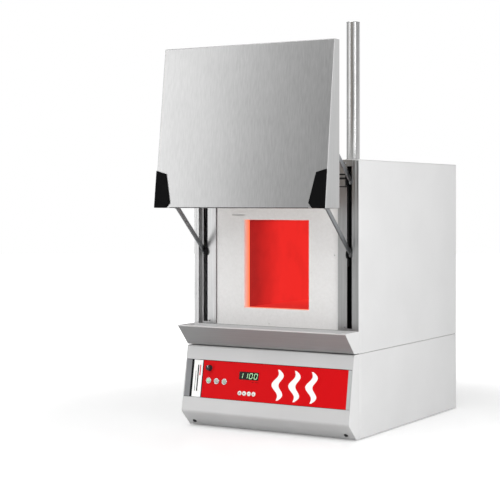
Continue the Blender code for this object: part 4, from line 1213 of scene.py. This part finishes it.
# fixing screws on the rear panels
rearScrews = {"x": 228, "heights": (232, 350, 460, 570, 685, 22, 112, 204), "radius": 3.6}
rearFace = sized("case_top")[1].y
places = [spot(side * rearScrews["x"], rearFace, z) for side in sides.values() for z in rearScrews["heights"]]
hang(newScrews("rearScrews", places, (0, 1, 0), rearScrews["radius"]), "cabinet", "stainless", "screw")

# the CAD nodes that stay as they are take a finish by their material slot, and the hot ones glow
slotLooks = {
    "painted_panels": "case", "fascia": "fascia", "stainless": "frame", "chimney": "chimney",
    "arm_steel": "arm", "zinc_steel": "shadedZincBlack", "heat_sink": "aluminium", "rubber_feet": "rubber",
    "black_nylon": "nylon", "switch_knob": "nylon", "door_grips": "grip", "cream_plastic": "cream",
    "red_panel": "red", "display": "display", "button_lenses": "key", "key_caps": "key",
    "ceramic_board": "board", "thermocouple_sheath": "rearWall", "hot_hearth": "hearth",
    "hot_heaters": "heater",
}
for row in frame["record"]["subparts"]:
    for slot in nodes[row["node"]].material_slots:
        slot.material = finish[slotLooks[row["material_slot"]]]


# studio, in metres: a wide pale floor that fades into the white surround, soft boxes and the camera
studio = {"radius": 12.0, "fadeFrom": 0.5, "fadeTo": 1.9, "floorTone": "#DEDEDE", "lift": 0.3,
          "surround": 0.38, "brightSurround": 1.4, "brightSide": (0.8, 0.6, 0.0)}
camera = {"place": (1.8231, front - 3.1535, 0.6096), "turn": 31, "sensor": 36, "lens": 99.432,
          "shift": -0.099}
softboxes = {       # place, aim, size and power
    "softboxLeft": ((-1.5, -1.9, 0.95), (-0.2, -0.4, 0.95), (0.8, 2.4), 13.0),
    "softboxRight": ((1.9, -1.5, 1.1), (0.25, -0.1, 0.4), (1.4, 1.6), 14),
    "stripRight": ((2.4, 0.15, 1.0), (0.0, 0.15, 0.9), (0.35, 1.9), 1.4),
    "sideStrip": ((1.35, -0.45, 0.4), (0.25, -0.15, 0.4), (0.3, 0.7), 2.6),
    "fillFront": ((1.0, -2.3, 1.5), (0, -0.2, 0.45), (0.8, 0.8), 6),
    "softboxTop": ((-0.3, -1.6, 3.0), (0, -0.1, 0.4), (2.2, 2.0), 46),
    "softboxRear": ((-0.8, 3.2, 2.2), (0, 0, 0.6), (2.0, 2.0), 22),
    "cardLeft": ((-2.8, -0.6, 1.3), (0, 0, 0.8), (1.2, 2.2), 9),
}


def makeFloor():
    # matt studio floor paint: pale, with a faint soft mirror image near the object
    floor = newPrimitive("studioFloor", bpy.ops.mesh.primitive_circle_add, vertices=96,
                         radius=studio["radius"], fill_type="NGON")
    look, tree, shader, place = newFinish("paleFloorPaint", {"Base Color": linear(studio["floorTone"]),
                                                             "Specular IOR Level": 0.35,
                                                             "Emission Color": linear("#FFFFFF")})
    away = addNode(tree, "VectorMath", {"operation": "LENGTH"}, {0: place})
    fade = addNode(tree, "MapRange", {"From Min": studio["fadeFrom"], "From Max": studio["fadeTo"],
                                      "To Min": studio["lift"], "To Max": 1.0,
                                      "interpolation_type": "SMOOTHERSTEP"}, {"Value": away.outputs["Value"]})
    scuffs = addNode(tree, "TexNoise", {"Scale": 1 / (80 * mm), "Detail": 6.0}, {"Vector": place})
    gloss = addNode(tree, "MapRange", {"To Min": 0.22, "To Max": 0.42}, {"Value": scuffs.outputs["Fac"]})
    seen = addNode(tree, "LightPath").outputs["Is Camera Ray"]
    shown = addNode(tree, "Math", {"operation": "MULTIPLY"}, {0: fade.outputs[0], 1: seen})
    wire(tree, shader, {"Emission Strength": shown.outputs[0], "Roughness": gloss.outputs[0]})
    floor.data.materials.append(look)


def makeSurround():     # white to the camera, dimmer as a light, brighter from the right
    world = bpy.data.worlds.new("softStudio")
    bpy.context.scene.world = world
    world.use_nodes = True
    tree = world.node_tree
    back = tree.nodes["Background"]
    back.inputs["Color"].default_value = linear("#FFFFFF")
    direction = addNode(tree, "TexCoord").outputs["Generated"]
    sideways = addNode(tree, "VectorMath", {"operation": "DOT_PRODUCT", 1: studio["brightSide"]},
                       {0: direction})
    strip = addNode(tree, "MapRange", {"From Min": 0.55, "From Max": 0.95, "To Min": studio["surround"],
                                       "To Max": studio["brightSurround"],
                                       "interpolation_type": "SMOOTHSTEP"},
                    {"Value": sideways.outputs["Value"]})
    seen = addNode(tree, "LightPath").outputs["Is Camera Ray"]
    strength = addNode(tree, "Mix", {"data_type": "FLOAT", 3: 1.0}, {0: seen, 2: strip.outputs[0]})
    tree.links.new(strength.outputs[0], back.inputs["Strength"])


def addSoftbox(name, place, aim, size, power):
    lamp = bpy.data.lights.new(name, "AREA")
    lamp.shape = "RECTANGLE"
    lamp.size, lamp.size_y = size
    lamp.energy = power
    holder = bpy.data.objects.new(name, lamp)
    bpy.context.scene.collection.objects.link(holder)
    holder.visible_camera = False
    holder.location = place
    holder.rotation_mode = "QUATERNION"
    holder.rotation_quaternion = (Vector(aim) - Vector(place)).to_track_quat("-Z", "Y")


def makeCamera():
    eye = bpy.data.objects.new("camera", bpy.data.cameras.new("camera"))
    bpy.context.scene.collection.objects.link(eye)
    eye.location = camera["place"]
    eye.rotation_euler = (math.radians(90), 0, math.radians(camera["turn"]))
    eye.data.sensor_width = camera["sensor"]
    eye.data.lens = camera["lens"]
    eye.data.shift_y = camera["shift"]
    bpy.context.scene.camera = eye


makeFloor()
makeSurround()
makeCamera()
bpy.context.scene.view_settings.view_transform = "Standard"
for name, settings in softboxes.items():
    addSoftbox(name, *settings)
